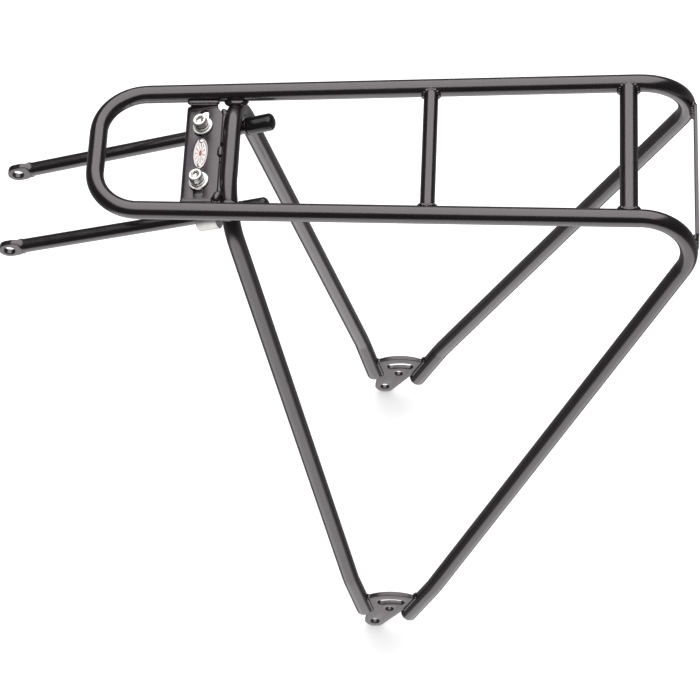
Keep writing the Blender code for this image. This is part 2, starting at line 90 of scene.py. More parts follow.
def finish_mesh(mesh, angle=40.0):
    """Smooth shading with the edges sharper than the angle kept crisp."""
    mesh.shade_smooth()
    mesh.set_sharp_from_angle(angle=math.radians(angle))


print("unit of (3, 4, 0) is", unit([3.0, 4.0, 0.0]))

# %% Put a piece on its body
def add_object(name, mesh, mat, body, replaced=()):
    """Puts a mesh in the scene with its material and lets it ride on a CAD body."""
    mesh.materials.append(mat)
    obj = bpy.data.objects.new(name, mesh)
    bpy.context.scene.collection.objects.link(obj)
    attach(obj, body)
    if replaced:
        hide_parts(*replaced)
    return obj


# %% A mesh from a grid
def grid_mesh(name, points, uv=None, caps=True, wrap=True, angle=40.0):
    """A mesh from a (rows, columns, 3) grid in mm: quads join neighbours, and each row closes when wrap is on.

    Corner (i, j) of a quad takes row i and column j, and the column after the last is the first again.
    """
    rows, cols = points.shape[:2]
    span = cols if wrap else cols - 1
    i, j = np.meshgrid(np.arange(rows - 1), np.arange(span), indexing="ij")
    k = (j + 1) % cols
    quads = np.stack([i * cols + j, i * cols + k, (i + 1) * cols + k, (i + 1) * cols + j], -1).reshape(-1, 4)
    faces = quads.tolist()
    if caps:
        faces.append(list(range(cols))[::-1])
        faces.append([(rows - 1) * cols + c for c in range(cols)])
    mesh = bpy.data.meshes.new(name)
    mesh.from_pydata((points.reshape(-1, 3) * MM).tolist(), [], faces)
    if uv is not None:
        u, v = uv
        corner = np.zeros((len(mesh.loops), 2), np.float32)
        corner[: quads.size, 0] = np.stack([u[j], u[j + 1], u[j + 1], u[j]], -1).ravel()
        corner[: quads.size, 1] = np.stack([v[i], v[i], v[i + 1], v[i + 1]], -1).ravel()
        layer = mesh.uv_layers.new(name="along")
        layer.data.foreach_set("uv", corner.ravel())
    bm = bmesh.new()
    bm.from_mesh(mesh)
    bmesh.ops.recalc_face_normals(bm, faces=bm.faces)
    bm.to_mesh(mesh)
    bm.free()
    finish_mesh(mesh, angle)
    return mesh


print("grids are drawn in mm and made in metres, scale", MM)

# %% [markdown]
# ## Paths and sweeps
# A bent tube is known by the corners of its centre line and by its bend radii, as a tube bender's
# sheet gives them. The centre line is worked out first, then rings are carried along it in frames
# that never twist. A Bezier curve with a bevel would look alike, but its arcs are only nearly
# round, and its rings can't be told where to lie.

# %% The centre line of a bent tube
def bend_path(corners, radii, step=3.0):
    """Centre line of a bent tube: straight runs joined by circular arcs of the given radii.

    At a corner with half angle h the arc's centre lies radius / sin(h) along the bisector.
    """
    corners = [np.asarray(c, float) for c in corners]
    path = [corners[0][None]]
    for before, corner, after, radius in zip(corners, corners[1:], corners[2:], radii):
        u, w = unit(before - corner), unit(after - corner)
        half = math.acos(float(u @ w)) / 2.0
        centre = corner + unit(u + w) * radius / math.sin(half)
        start = corner + u * radius / math.tan(half) - centre
        stop = corner + w * radius / math.tan(half) - centre
        turn = math.pi - 2.0 * half
        q = np.linspace(0.0, 1.0, max(4, round(math.degrees(turn) / step)) + 1)[:, None]
        path.append(centre + (np.sin((1 - q) * turn) * start + np.sin(q * turn) * stop) / math.sin(turn))
    path.append(corners[-1][None])
    return np.vstack(path)


def spread(path, gap):
    """The same polyline with extra points, no further apart than gap."""
    parts = [a + (b - a) * np.linspace(0, 1, max(1, math.ceil(np.linalg.norm(b - a) / gap)), endpoint=False)[:, None]
             for a, b in zip(path, path[1:])]
    return np.vstack(parts + [path[-1:]])


def lengths(path):
    """Distance along a polyline at each of its points."""
    return np.concatenate([[0.0], np.cumsum(np.linalg.norm(np.diff(path, axis=0), axis=1))])


elbow = bend_path([(0, 0, 0), (50, 0, 0), (50, 50, 0)], [20.0])
print("a square elbow of 50 mm legs is", round(float(lengths(elbow)[-1]), 2), "mm long")

# %% Frames and rings along a path
def side_frames(path, closed=False):
    """Tangent and two normals at each point; the normals are carried along so that they never twist."""
    if closed:
        tangent = unit(np.roll(path, -1, 0) - np.roll(path, 1, 0))
    else:
        tangent = unit(np.gradient(path, axis=0))
    first = np.cross(tangent[0], [0.3, 0.2, 0.93])
    normals = [unit(first)]
    for t in tangent[1:]:
        n = normals[-1] - t * (normals[-1] @ t)
        normals.append(unit(n))
    normals = np.array(normals)
    return tangent, normals, np.cross(tangent, normals)


def sweep(path, radius, sides=40, closed=False):
    """Rings of the given radius round a path: centre + radius (cos a * normal + sin a * binormal)."""
    _, n, b = side_frames(path, closed)
    a = np.linspace(0, 2 * math.pi, sides, endpoint=False)
    radius = np.broadcast_to(np.asarray(radius, float), (len(path),))[:, None, None]
    rings = path[:, None] + radius * (np.cos(a)[None, :, None] * n[:, None] + np.sin(a)[None, :, None] * b[:, None])
    u = np.linspace(0, 2 * math.pi * float(radius.mean()), sides + 1)
    return rings, (u, lengths(path))


print("rings in the elbow", sweep(elbow, TUBE_R)[0].shape)

# %% Rounded ends
def rounded_ends(path, radius, start=True, stop=True, edge=1.9, flat=0.56):
    """Adds closely spaced points at the ends and gives a radius that falls there as a quarter ellipse."""
    q = np.linspace(0.0, 1.0, 9)
    reach = edge * (1.0 - np.cos(q * math.pi / 2.0))
    fall = radius * (flat + (1.0 - flat) * np.sin(q * math.pi / 2.0))
    head = path[0] + unit(path[1] - path[0]) * reach[:, None]
    tail = path[-1] + unit(path[-2] - path[-1]) * reach[::-1, None]
    inner = path[1:-1]
    points = np.vstack([head if start else path[:1], inner, tail if stop else path[-1:]])
    radii = np.concatenate([fall if start else [radius], np.full(len(inner), radius), fall[::-1] if stop else [radius]])
    return points, radii


print("end radius", rounded_ends(elbow, TUBE_R)[1][0].round(2), "mm")

# %% [markdown]
# ## Powder coat
# The tubes carry a satin black powder coat. Sprayed powder melts into a skin with a fine orange peel,
# so its bump has two sizes of noise, and its gloss drifts slowly along the tube. Fine specks of a
# slightly lighter grey stand for dust in the coat. Everything is computed from object coordinates.

# %% A new material, and noise on it
def nodes_of(name):
    """A new material and its node tree's parts."""
    mat = bpy.data.materials.new(name)
    mat.use_nodes = True
    tree = mat.node_tree
    return mat, tree.nodes, tree.links, tree.nodes["Principled BSDF"]


def object_vector(nodes):
    """Object coordinates of the piece itself."""
    return nodes.new("ShaderNodeTexCoord").outputs["Object"]


def noise(nodes, links, vector, scale, detail=2.0, roughness=0.5):
    """Noise of the given scale per metre on a vector."""
    node = nodes.new("ShaderNodeTexNoise")
    node.inputs["Scale"].default_value = scale
    node.inputs["Detail"].default_value = detail
    node.inputs["Roughness"].default_value = roughness
    links.new(vector, node.inputs["Vector"])
    return node.outputs["Fac"]


print("materials so far", len(bpy.data.materials))

# %% Colour ramps and bumps
def ramp(nodes, links, value, stops):
    """A colour ramp with (position, grey or rgb) stops."""
    node = nodes.new("ShaderNodeValToRGB")
    while len(node.color_ramp.elements) < len(stops):
        node.color_ramp.elements.new(0.5)
    for element, (position, colour) in zip(node.color_ramp.elements, stops):
        element.position = position
        rgb = (colour,) * 3 if isinstance(colour, (int, float)) else colour
        element.color = (*rgb, 1.0)
    links.new(value, node.inputs["Fac"])
    return node.outputs["Color"]


def bump(nodes, links, height, strength, distance, normal=None):
    """A bump node; distances are in metres."""
    node = nodes.new("ShaderNodeBump")
    node.inputs["Strength"].default_value = strength
    node.inputs["Distance"].default_value = distance
    links.new(height, node.inputs["Height"])
    if normal is not None:
        links.new(normal, node.inputs["Normal"])
    return node.outputs["Normal"]


print("nodes in a new material", len(nodes_of("trial")[1]))
bpy.data.materials.remove(bpy.data.materials["trial"])

# %% Specks of dust
SPECKS_PER_METRE = 620.0


def specked(nodes, links, where, base):
    """The base colour with small lighter dots: a dot's radius is an eighth of its cell, and one cell in six has one."""
    specks = nodes.new("ShaderNodeTexVoronoi")
    specks.inputs["Scale"].default_value = SPECKS_PER_METRE
    links.new(where, specks.inputs["Vector"])
    dot = ramp(nodes, links, specks.outputs["Distance"], [(0.0, 1.0), (0.09, 1.0), (0.16, 0.0)])
    rare = nodes.new("ShaderNodeSeparateColor")
    links.new(specks.outputs["Color"], rare.inputs["Color"])
    chosen = ramp(nodes, links, rare.outputs["Red"], [(0.0, 0.0), (0.80, 0.0), (0.86, 1.0)])
    both = nodes.new("ShaderNodeMath")
    both.operation = 'MULTIPLY'
    links.new(dot, both.inputs[0])
    links.new(chosen, both.inputs[1])
    mix = nodes.new("ShaderNodeMix")
    mix.data_type = 'RGBA'
    links.new(both.outputs[0], mix.inputs["Factor"])
    links.new(base, mix.inputs["A"])
    mix.inputs["B"].default_value = (0.045, 0.038, 0.040, 1.0)
    return mix.outputs["Result"]


print("speck cells are", round(1.0 / SPECKS_PER_METRE / MM, 2), "mm wide")

# %% Satin powder coat
PEEL_PER_METRE, FINE_PEEL_PER_METRE = 720.0, 2400.0


def powder_coat(name, gloss=0.20, peel=0.45, tint=(0.0062, 0.0046, 0.0050)):
    """Satin powder coat: dark base with drift and specks, drifting gloss, two-scale orange peel."""
    mat, nodes, links, shader = nodes_of(name)
    where = object_vector(nodes)
    drift = noise(nodes, links, where, 38.0, 3.0)
    light = tuple(1.7 * c for c in tint)
    base = ramp(nodes, links, drift, [(0.3, tint), (0.72, light)])
    links.new(specked(nodes, links, where, base), shader.inputs["Base Color"])
    gloss_drift = noise(nodes, links, where, 95.0, 4.0, 0.6)
    rough = nodes.new("ShaderNodeMapRange")
    rough.inputs["To Min"].default_value = gloss - 0.06
    rough.inputs["To Max"].default_value = gloss + 0.09
    links.new(gloss_drift, rough.inputs["Value"])
    links.new(rough.outputs["Result"], shader.inputs["Roughness"])
    coarse = noise(nodes, links, where, PEEL_PER_METRE, 2.0)
    fine = noise(nodes, links, where, FINE_PEEL_PER_METRE, 2.0)
    first = bump(nodes, links, coarse, 0.30 * peel, 0.00016)
    links.new(bump(nodes, links, fine, 0.22 * peel, 0.00006, first), shader.inputs["Normal"])
    shader.inputs["IOR"].default_value = 1.9
    shader.inputs["Specular Tint"].default_value = (1.0, 0.93, 0.955, 1.0)
    return mat


tube_coat = powder_coat("tube_coat_satin")
print("made", tube_coat.name, "with peel of about", round(1.0 / PEEL_PER_METRE / MM, 1), "mm")

# %% [markdown]
# ## The two bent tubes
# Each is one length of tube bent on a mandrel, so it is a sweep of a circle along straight runs joined
# by arcs. The open ends are closed and rounded where they meet the foot plates. A tube that is bent
# flattens a little on the outside of the bend: the rings are squeezed by a hundredth or two there.

# %% Sizes of the tubes
LOOP_X = -136.4
RAIL_HALF_FRONT = 38.94
RAIL_SPLAY = 6.88 / 300.0
RAIL_REAR_X = 204.4
LOOP_BEND_R, REAR_BEND_R, KNEE_BEND_R = 26.2, 26.8, 40.0
FOOT_HALF = 86.5
REAR_KNEE, REAR_END = (37.7, 40.0), (20.3, 6.1)
FRONT_KNEE, FRONT_END = (-12.0, 49.7), (-5.5, 12.2)
HOOP_X, HOOP_Z, HOOP_HALF, HOOP_BEND_R = -62.8, DECK_Z - 1.0, 39.5, 27.6


def rail_half(x):
    """Half spacing of the rails at x: the front value plus splay times the distance from the loop."""
    return RAIL_HALF_FRONT + (x - LOOP_X) * RAIL_SPLAY


print("rails open from", 2 * RAIL_HALF_FRONT, "to", round(2 * rail_half(RAIL_REAR_X), 1), "mm")

# %% Bend the main tube and the front hoop
def flattened(path, radii, amount=0.018):
    """Radii reduced slightly where the path curves; curvature is the turn per length of the polyline."""
    tangent = unit(np.gradient(path, axis=0))
    turn = np.linalg.norm(np.gradient(tangent, axis=0), axis=1) / np.maximum(np.gradient(lengths(path)), 1e-6)
    return radii * (1.0 - amount * np.clip(turn / 0.036, 0.0, 1.0))


def bent_tube(name, side, radii, node):
    """A tube that is the same on both sides: its corners are given from the right foot to the middle."""
    corners = [(x, -y, z) for x, y, z in side] + side[::-1]
    path, r = rounded_ends(spread(bend_path(corners, radii), 12.0), TUBE_R)
    rings, uv = sweep(path, flattened(path, r), 48)
    return add_object(name, grid_mesh(name, rings, uv), tube_coat, "rack", [node]), path


main_side = [(REAR_END[0], FOOT_HALF, REAR_END[1]), (REAR_KNEE[0], FOOT_HALF, REAR_KNEE[1]),
             (RAIL_REAR_X, rail_half(RAIL_REAR_X), DECK_Z), (LOOP_X, RAIL_HALF_FRONT, DECK_Z)]
hoop_side = [(FRONT_END[0], FOOT_HALF, FRONT_END[1]), (FRONT_KNEE[0], FOOT_HALF, FRONT_KNEE[1]),
             (HOOP_X, HOOP_HALF, HOOP_Z)]
main_tube, main_path = bent_tube("main_tube_skin", main_side,
                                 [KNEE_BEND_R, REAR_BEND_R, LOOP_BEND_R, LOOP_BEND_R, REAR_BEND_R, KNEE_BEND_R],
                                 "main_tube")
front_hoop, hoop_path = bent_tube("front_hoop_skin", hoop_side,
                                  [KNEE_BEND_R, HOOP_BEND_R, HOOP_BEND_R, KNEE_BEND_R], "front_hoop")
print("main tube is", round(lengths(main_path)[-1]), "mm long, the hoop", round(lengths(hoop_path)[-1]))

# %% [markdown]
# ## The rungs
# Two straight tubes are butted between the rails. Their ends run a little into the rails, under the
# weld, as a coped tube would.

# %% Two rungs
MIDDLE_RUNG_X, MIDDLE_RUNG_R = 46.5, 4.05
REAR_RUNG_X, REAR_RUNG_R = 155.2, 5.0


def rung(name, x, radius, node):
    """A straight tube from inside one rail to inside the other."""
    half = rail_half(x) - 2.2
    path = spread(np.array([[x, -half, DECK_Z], [x, half, DECK_Z]]), 8.0)
    rings, uv = sweep(path, radius, 40)
    return add_object(name, grid_mesh(name, rings, uv), tube_coat, "rack", [node])


rung("middle_rung_skin", MIDDLE_RUNG_X, MIDDLE_RUNG_R, "middle_rung")
rung("rear_rung_skin", REAR_RUNG_X, REAR_RUNG_R, "rear_rung")
print("rungs", round(2 * rail_half(MIDDLE_RUNG_X), 1), round(2 * rail_half(REAR_RUNG_X), 1))

# %% [markdown]
# ## Weld beads
# A welder lays a seam as overlapping drops. The bead is a sweep whose radius rises and falls once per
# drop, with each ripple leaning back, and a slow unevenness of its own seed, because a seam made by
# hand is never quite regular. All beads were coated along with the tubes.

# %% The drops of a weld
weld_coat = powder_coat("weld_coat_satin", gloss=0.20, peel=0.4)


def drops(s, a, count, depth, rng):
    """Share of the radius left by the drops: (1 - depth r) times a slow sum of sines of its own seed.

    r is the rounded saw 0.5 + 0.5 cos(w + 0.5 sin w), and w, the phase along the bead, leans with the angle.
    """
    phase = s / (s[-1] + 0.22) * count * 2 * math.pi
    wave = phase[:, None] + 0.55 * np.cos(a)[None, :]
    ripple = 0.5 + 0.5 * np.cos(wave + 0.5 * np.sin(wave))
    slow = sum(rng.uniform(0.3, 1.0) * np.sin(k * phase / count * rng.integers(1, 3) + rng.uniform(0, 6.28))
               for k in (1, 2, 3, 5)) / 4.0
    return (1.0 - depth * ripple) * (1.0 + 0.09 * slow[:, None])


print("thinnest share of a bead's radius", drops(np.arange(0, 20, 0.2), np.zeros(1), 12, 0.17,
                                                  np.random.default_rng(0)).min().round(2))

# %% One bead
def bead(name, path, radius=1.5, pitch=1.5, closed=False, seed=0, share=None, depth=0.17):
    """A rippled weld along a path: the radius, times the drops' share, falls to a rounded tip at open ends.

    share, where given, scales the radius at each of the path's own points.
    """
    path = np.vstack([path, path[:1]]) if closed else path
    share = np.ones(len(path)) if share is None else np.append(share, share[:1]) if closed else share
    whole = lengths(path)
    path = spread(path, 0.22)
    share = np.interp(lengths(path), whole, share)
    if closed:
        path, share = path[:-1], share[:-1]
    s = lengths(path)
    sides = 20
    a = np.linspace(0, 2 * math.pi, sides, endpoint=False)
    count = max(2, round((s[-1] + (0.22 if closed else 0.0)) / pitch))
    r = radius * share[:, None] * drops(s, a, count, depth, np.random.default_rng(seed))
    if not closed:
        q = np.clip(np.minimum(s, s[-1] - s) / (1.6 * radius), 0.0, 1.0)
        r = r * (0.12 + 0.88 * np.sqrt(1.0 - (1.0 - q) ** 2))[:, None]
    _, n, b = side_frames(path, closed)
    rings = path[:, None] + r[:, :, None] * (np.cos(a)[None, :, None] * n[:, None]
                                             + np.sin(a)[None, :, None] * b[:, None])
    if closed:
        rings = np.concatenate([rings, rings[:1]])
        s = np.append(s, s[-1] + 0.22)
    uv = (np.linspace(0, 2 * math.pi * radius, sides + 1), s)
    mesh = grid_mesh(name, rings, uv, caps=not closed, angle=70.0)
    return add_object(name, mesh, weld_coat, "rack", ())


print("bead coat", weld_coat.name)

# %% Seam round a rung
def rung_seam(x, radius, side, count=90):
    """Where a rung meets a rail: round the rung, y is the rail's centre less sqrt(R^2 - z^2)."""
    t = np.linspace(0, 2 * math.pi, count, endpoint=False)
    reach = radius + 0.15 - 0.9 * np.sin(t) ** 4 * (radius / TUBE_R)
    dx, dz = reach * np.cos(t), reach * np.sin(t)
    sink = np.sqrt(np.maximum(TUBE_R ** 2 - np.minimum(np.abs(dz), 4.55) ** 2, 0.0))
    y = rail_half(x + dx) - sink - 0.25
    return np.stack([x + dx, side * y, DECK_Z + dz], -1), 0.52 + 0.48 * np.abs(np.cos(t)) ** 0.8


print("rung seam points", len(rung_seam(REAR_RUNG_X, REAR_RUNG_R, 1)[0]))

# %% Seam between the hoop and a rail
def nearest(a, b):
    """The closest pair of points of two point rows."""
    d = np.linalg.norm(a[:, None] - b[None], axis=2)
    i, j = np.unravel_index(d.argmin(), d.shape)
    return a[i], b[j], float(d.min())


def hoop_seam(side):
    """An oval round the place where the centre lines of hoop and rail come closest, and how close that is."""
    rail = spread(np.array([[-100.0, side * rail_half(-100.0), DECK_Z], [-30.0, side * rail_half(-30.0), DECK_Z]]), 0.4)
    here = spread(hoop_path[np.sign(hoop_path[:, 1]) == side], 0.4)
    on_rail, on_hoop, apart = nearest(rail, here)
    towards = unit(on_hoop - on_rail)
    across = unit(np.cross(towards, [1.0, 0.0, 0.0]))
    along = np.cross(across, towards)
    t = np.linspace(0, 2 * math.pi, 80, endpoint=False)
    middle = (on_rail + on_hoop) / 2.0
    return middle + 4.9 * np.cos(t)[:, None] * along + 4.0 * np.sin(t)[:, None] * across, apart


print("hoop and rail centre lines come within", round(hoop_seam(1)[1], 2), "mm")

# %% Lay the seams of the rungs and the hoop
for word, side in SIDES.items():
    for tag, x, r, size, seed in (("middle", MIDDLE_RUNG_X, MIDDLE_RUNG_R, 1.35, 11),
                                  ("rear", REAR_RUNG_X, REAR_RUNG_R, 1.45, 21)):
        seam, share = rung_seam(x, r, side)
        bead(f"{word}_{tag}_rung_weld", seam, size, 1.6, True, seed + side, share)
    bead(f"{word}_hoop_weld", hoop_seam(side)[0], 2.0, 2.6, True, 31 + side, depth=0.07)

# %% [markdown]
# ## Places on the carrier
# The bracket, the badge, the bolts and the stays lie at a slant. Each is drawn flat in its own axes
# and then carried to its place by one matrix, so the sizes in each drawing stay the plain ones a
# workshop would use. The finished object itself stays unturned, as its place is in its mesh.

# %% Local axes
def axes_matrix(origin, x_axis, y_axis):
    """4x4 matrix in mm whose columns are x, y made square to x, and x cross y."""
    x = unit(x_axis)
    y = unit(np.asarray(y_axis, float) - x * (np.asarray(y_axis, float) @ x))
    m = np.eye(4)
    m[:3, 0], m[:3, 1], m[:3, 2], m[:3, 3] = x, y, np.cross(x, y), origin
    return m


def apply(matrix, points):
    """Points of a local frame, carried into the carrier's frame."""
    return points @ matrix[:3, :3].T + matrix[:3, 3]


SHEET = 2.5
TILT = math.radians(13.0)
WEB_LENGTH, WEB_HALF = 21.8, 34.5
SLOT_ALONG, SLOT_HALF_WIDTH = 10.8, 2.8
DOWN_SLOPE = np.array([-math.cos(TILT), 0.0, -math.sin(TILT)])
OUT_OF_WEB = np.array([-math.sin(TILT), 0.0, math.cos(TILT)])
BRACKET_ORIGIN = np.array([HOOP_X - TUBE_R - GAP - 0.5, 0.0, DECK_Z])


def on_web(along, across, height=0.0):
    """A point down the slope, across to +Y and out of the web, in mm."""
    return BRACKET_ORIGIN + DOWN_SLOPE * along + np.array([0.0, across, 0.0]) + OUT_OF_WEB * height


print("middle of the bolt line, mm", on_web(SLOT_ALONG, 0.0).round(2))

# %% [markdown]
# ## The slotted bracket
# A blank of 2.5 mm sheet is folded three times: its front edge goes down into a stiff lip, and its
# sides go up to the rails. The flat web is filled from its outline with both slots left open. Each fold
# is a strip of arcs that shares the web's edge points, and then the whole skin is given its thickness
# and its cut edges are rounded.

# %% Sizes of the bracket
CORNER_CUT = (3.7, 7.0)
LIP_DEPTH = 6.5
SLOT_INNER, SLOT_OUTER = 12.2, 30.6
FRONT_FOLD_R, SIDE_FOLD_R = 3.0, 0.6
FOLD_U = WEB_LENGTH - FRONT_FOLD_R
FOLD_V = WEB_HALF - SHEET - SIDE_FOLD_R
web_matrix = axes_matrix(BRACKET_ORIGIN, DOWN_SLOPE, (0, -1, 0))
sheet_coat = powder_coat("sheet_coat_satin", gloss=0.30, peel=0.7, tint=(0.0125, 0.0088, 0.0120))


def arc(centre, radius, start, stop, count):
    """Points of a circular arc, angles in degrees."""
    t = np.radians(np.linspace(start, stop, count))
    return np.stack([centre[0] + radius * np.cos(t), centre[1] + radius * np.sin(t)], -1)


def slot_ring(side):
    """A slot with half-round ends, across the web."""
    w = SLOT_HALF_WIDTH
    outer = arc((SLOT_ALONG, SLOT_OUTER - w), w, 0.0, 180.0, 17)
    inner = arc((SLOT_ALONG, SLOT_INNER + w), w, 180.0, 360.0, 17)
    return np.vstack([outer, inner]) * [1.0, side]


print("points round a slot", len(slot_ring(1)))

# %% The flat web
U_ROWS = np.linspace(CORNER_CUT[0] - 0.3, FOLD_U - 0.9, 17)
V_COLS = np.linspace(-WEB_HALF, WEB_HALF, 25)


def web_outline():
    """Rear edge with its corner cuts, the fold lines at the sides, and the fold line in front."""
    rear = [(0.0, WEB_HALF - CORNER_CUT[1] - 1.6), (0.3, WEB_HALF - CORNER_CUT[1] - 0.8),
            (U_ROWS[0] - 0.3, FOLD_V - 0.1)]
    right = rear + [(u, FOLD_V) for u in U_ROWS] + [(FOLD_U - 0.6, FOLD_V + 0.1), (FOLD_U - 0.5, WEB_HALF)]
    front = [(FOLD_U, v) for v in V_COLS[::-1]]
    return right + front + [(u, -v) for u, v in right[::-1]]


print("points round the web", len(web_outline()))

# %% The folds
def front_fold():
    """Grid of the front fold and lip: a quarter turn of FRONT_FOLD_R, then straight down to LIP_DEPTH."""
    t = np.radians(np.linspace(0.0, 90.0, 9))
    drop_u = np.append(FOLD_U + FRONT_FOLD_R * np.sin(t), [WEB_LENGTH] * 3)
    drop_w = np.append(-FRONT_FOLD_R * (1.0 - np.cos(t)), -np.linspace(FRONT_FOLD_R, LIP_DEPTH, 4)[1:])
    return np.stack([np.stack([drop_u, np.full(12, v), drop_w], -1) for v in V_COLS])


def side_fold():
    """Grid of a side fold, whose height (u sin TILT + 0.5) / cos TILT keeps its upper edge level."""
    height = (U_ROWS * math.sin(TILT) + 0.5) / math.cos(TILT)
    rows = []
    for u, h in zip(U_ROWS, height):
        turn = math.acos(max(0.0, 1.0 - h / SIDE_FOLD_R)) if h < SIDE_FOLD_R else math.pi / 2.0
        a = np.linspace(0.0, turn, 9)
        v = np.append(FOLD_V + SIDE_FOLD_R * np.sin(a), [FOLD_V + SIDE_FOLD_R * math.sin(turn)] * 2)
        w_arc = SIDE_FOLD_R * (1.0 - np.cos(a))
        w = np.append(w_arc, w_arc[-1] + np.array([0.5, 1.0]) * max(h - SIDE_FOLD_R, 0.06))
        rows.append(np.stack([np.full(11, u), v, w], -1))
    return np.stack(rows)


print("side fold height, mm, from", side_fold()[0, -1, 2].round(2), "to", side_fold()[-1, -1, 2].round(2))

# %% One open skin
def strip(bm, points):
    """Quads between neighbouring points of a grid."""
    rows, cols = points.shape[:2]
    grid = [[bm.verts.new(p) for p in row] for row in points]
    for i in range(rows - 1):
        for j in range(cols - 1):
            bm.faces.new((grid[i][j], grid[i + 1][j], grid[i + 1][j + 1], grid[i][j + 1]))


def bracket_skin():
    """Upper surface of the bracket: web, front fold and lip, and the two side folds, as one open skin."""
    bm = bmesh.new()
    edges = []
    for loop in [web_outline(), slot_ring(1), slot_ring(-1)]:
        verts = [bm.verts.new((x, y, 0.0)) for x, y in loop]
        edges += [bm.edges.new((verts[i - 1], verts[i])) for i in range(len(verts))]
    bmesh.ops.triangle_fill(bm, use_beauty=True, edges=edges, normal=(0, 0, 1))
    for grid in (front_fold(), side_fold(), side_fold() * [1.0, -1.0, 1.0]):
        strip(bm, grid)
    bmesh.ops.remove_doubles(bm, verts=bm.verts, dist=0.004)
    bmesh.ops.recalc_face_normals(bm, faces=bm.faces)
    top = max(bm.faces, key=lambda f: f.calc_area())
    if top.normal.z < 0.0:
        bmesh.ops.reverse_faces(bm, faces=bm.faces)
    mesh = bpy.data.meshes.new("front_bracket_skin")
    bm.transform(Matrix.Diagonal((MM, MM, MM, 1.0)) @ Matrix(web_matrix.tolist()))
    bm.to_mesh(mesh)
    bm.free()
    return mesh


print("front fold grid", front_fold().shape)

# %% The bracket, thickened and rounded
bracket = add_object("front_bracket_skin", bracket_skin(), sheet_coat, "rack", ["front_bracket"])
thick = bracket.modifiers.new("thickness", 'SOLIDIFY')
thick.thickness = SHEET * MM
thick.offset = -1.0
thick.use_even_offset = True
rim = bracket.modifiers.new("rims", 'BEVEL')
rim.width = 0.4 * MM
rim.segments = 3
rim.limit_method = 'ANGLE'
rim.angle_limit = math.radians(50.0)
finish_mesh(bracket.data, 28.0)
print("bracket skin faces", len(bracket.data.polygons))

# %% [markdown]
# ## Welds round the bracket
# The web is welded to the hoop behind it, and its side folds to the rails. The left corner carries
# one fat drop that bridges the corner cut, the right corner a smaller one, and a short heavy seam
# sits in the middle. Each is the same bead function with its own path, thickness and seed, because
# hand-laid seams differ.

# %% Seams of the bracket
for word, side in SIDES.items():
    seam = np.array([on_web(-0.8, side * 5.5, -1.9), on_web(-0.8, side * 28.0, -1.9)])
    bead(f"{word}_bracket_rear_weld", seam, 1.8, 2.0, False, 41 + side, depth=0.1)
    x = np.linspace(-88.4, -70.5, 20)
    y = np.full(20, WEB_HALF - 0.75)
    bead(f"{word}_bracket_side_weld", np.stack([x, side * y, np.full(20, DECK_Z - 0.1)], -1), 1.5, 2.3, False,
         51 + side, depth=0.1)
middle_seam = np.array([on_web(-0.3, -3.8, -0.2), on_web(-0.3, 3.4, -0.2)])
bead("centre_bracket_rear_weld", middle_seam, 1.75, 2.4, False, 45)
corner = np.array([on_web(-0.9, -26.4, -1.2), on_web(-0.2, -29.4, -0.9), on_web(0.9, -33.6, -0.2)])
bead("left_corner_weld", corner, 2.7, 3.1, False, 46, np.array([0.75, 1.0, 0.85]), 0.12)
corner = np.array([on_web(-1.0, 24.5, -1.3), on_web(-0.9, 27.2, -1.2), on_web(0.4, 29.6, -1.0)])
bead("right_corner_weld", corner, 1.9, 2.6, False, 48, depth=0.12)

# %% [markdown]
# ## Bright metal
# The screws, washers, rivets and clamps are bare or plated steel and alloy. A cloudy gloss and fine
# scratches, drawn out along the grinding, keep the highlights from looking like chrome. Turned
# faces also carry rings of tool marks, a sine of the distance along the profile, which the UV map
# gives.

# %% Ground metal
def steel(name, colour, gloss, marks=900.0, stretch=(1.0, 1.0, 1.0), cloud=0.05):
    """Bright metal: cloudy gloss and fine machining marks, drawn out along one axis by stretch."""
    mat, nodes, links, shader = nodes_of(name)
    where = object_vector(nodes)
    cloudy = noise(nodes, links, where, 260.0, 4.0, 0.6)
    dark = tuple(0.84 * c for c in colour)
    links.new(ramp(nodes, links, cloudy, [(0.3, dark), (0.7, colour)]), shader.inputs["Base Color"])
    mapped = nodes.new("ShaderNodeMapping")
    mapped.inputs["Scale"].default_value = stretch
    links.new(where, mapped.inputs["Vector"])
    scratch = noise(nodes, links, mapped.outputs["Vector"], marks, 6.0, 0.65)
    rough = nodes.new("ShaderNodeMapRange")
    rough.inputs["To Min"].default_value = gloss - cloud
    rough.inputs["To Max"].default_value = gloss + 2.0 * cloud
    links.new(scratch, rough.inputs["Value"])
    links.new(rough.outputs["Result"], shader.inputs["Roughness"])
    links.new(bump(nodes, links, scratch, 0.18, 0.00004), shader.inputs["Normal"])
    shader.inputs["Metallic"].default_value = 1.0
    return mat


print("materials so far", sorted(m.name for m in bpy.data.materials))

# %% Turned metal
def turned_steel(name, colour, gloss, pitch=0.16):
    """Turned metal: rings of tool marks follow the UV that runs along the profile, in mm."""
    mat = steel(name, colour, gloss)
    nodes, links = mat.node_tree.nodes, mat.node_tree.links
    shader = nodes["Principled BSDF"]
    old = shader.inputs["Normal"].links[0].from_socket
    uv = nodes.new("ShaderNodeUVMap")
    uv.uv_map = "along"
    split = nodes.new("ShaderNodeSeparateXYZ")
    links.new(uv.outputs["UV"], split.inputs["Vector"])
    wave = nodes.new("ShaderNodeMath")
    wave.operation = 'MULTIPLY'
    wave.inputs[1].default_value = 2.0 * math.pi / pitch
    links.new(split.outputs["Y"], wave.inputs[0])
    sine = nodes.new("ShaderNodeMath")
    sine.operation = 'SINE'
    links.new(wave.outputs[0], sine.inputs[0])
    links.new(bump(nodes, links, sine.outputs[0], 0.10, 0.00002, old), shader.inputs["Normal"])
    return mat


washer_finish = turned_steel("washer_bright", (0.82, 0.81, 0.79), 0.26, 0.22)
print("made", washer_finish.name)

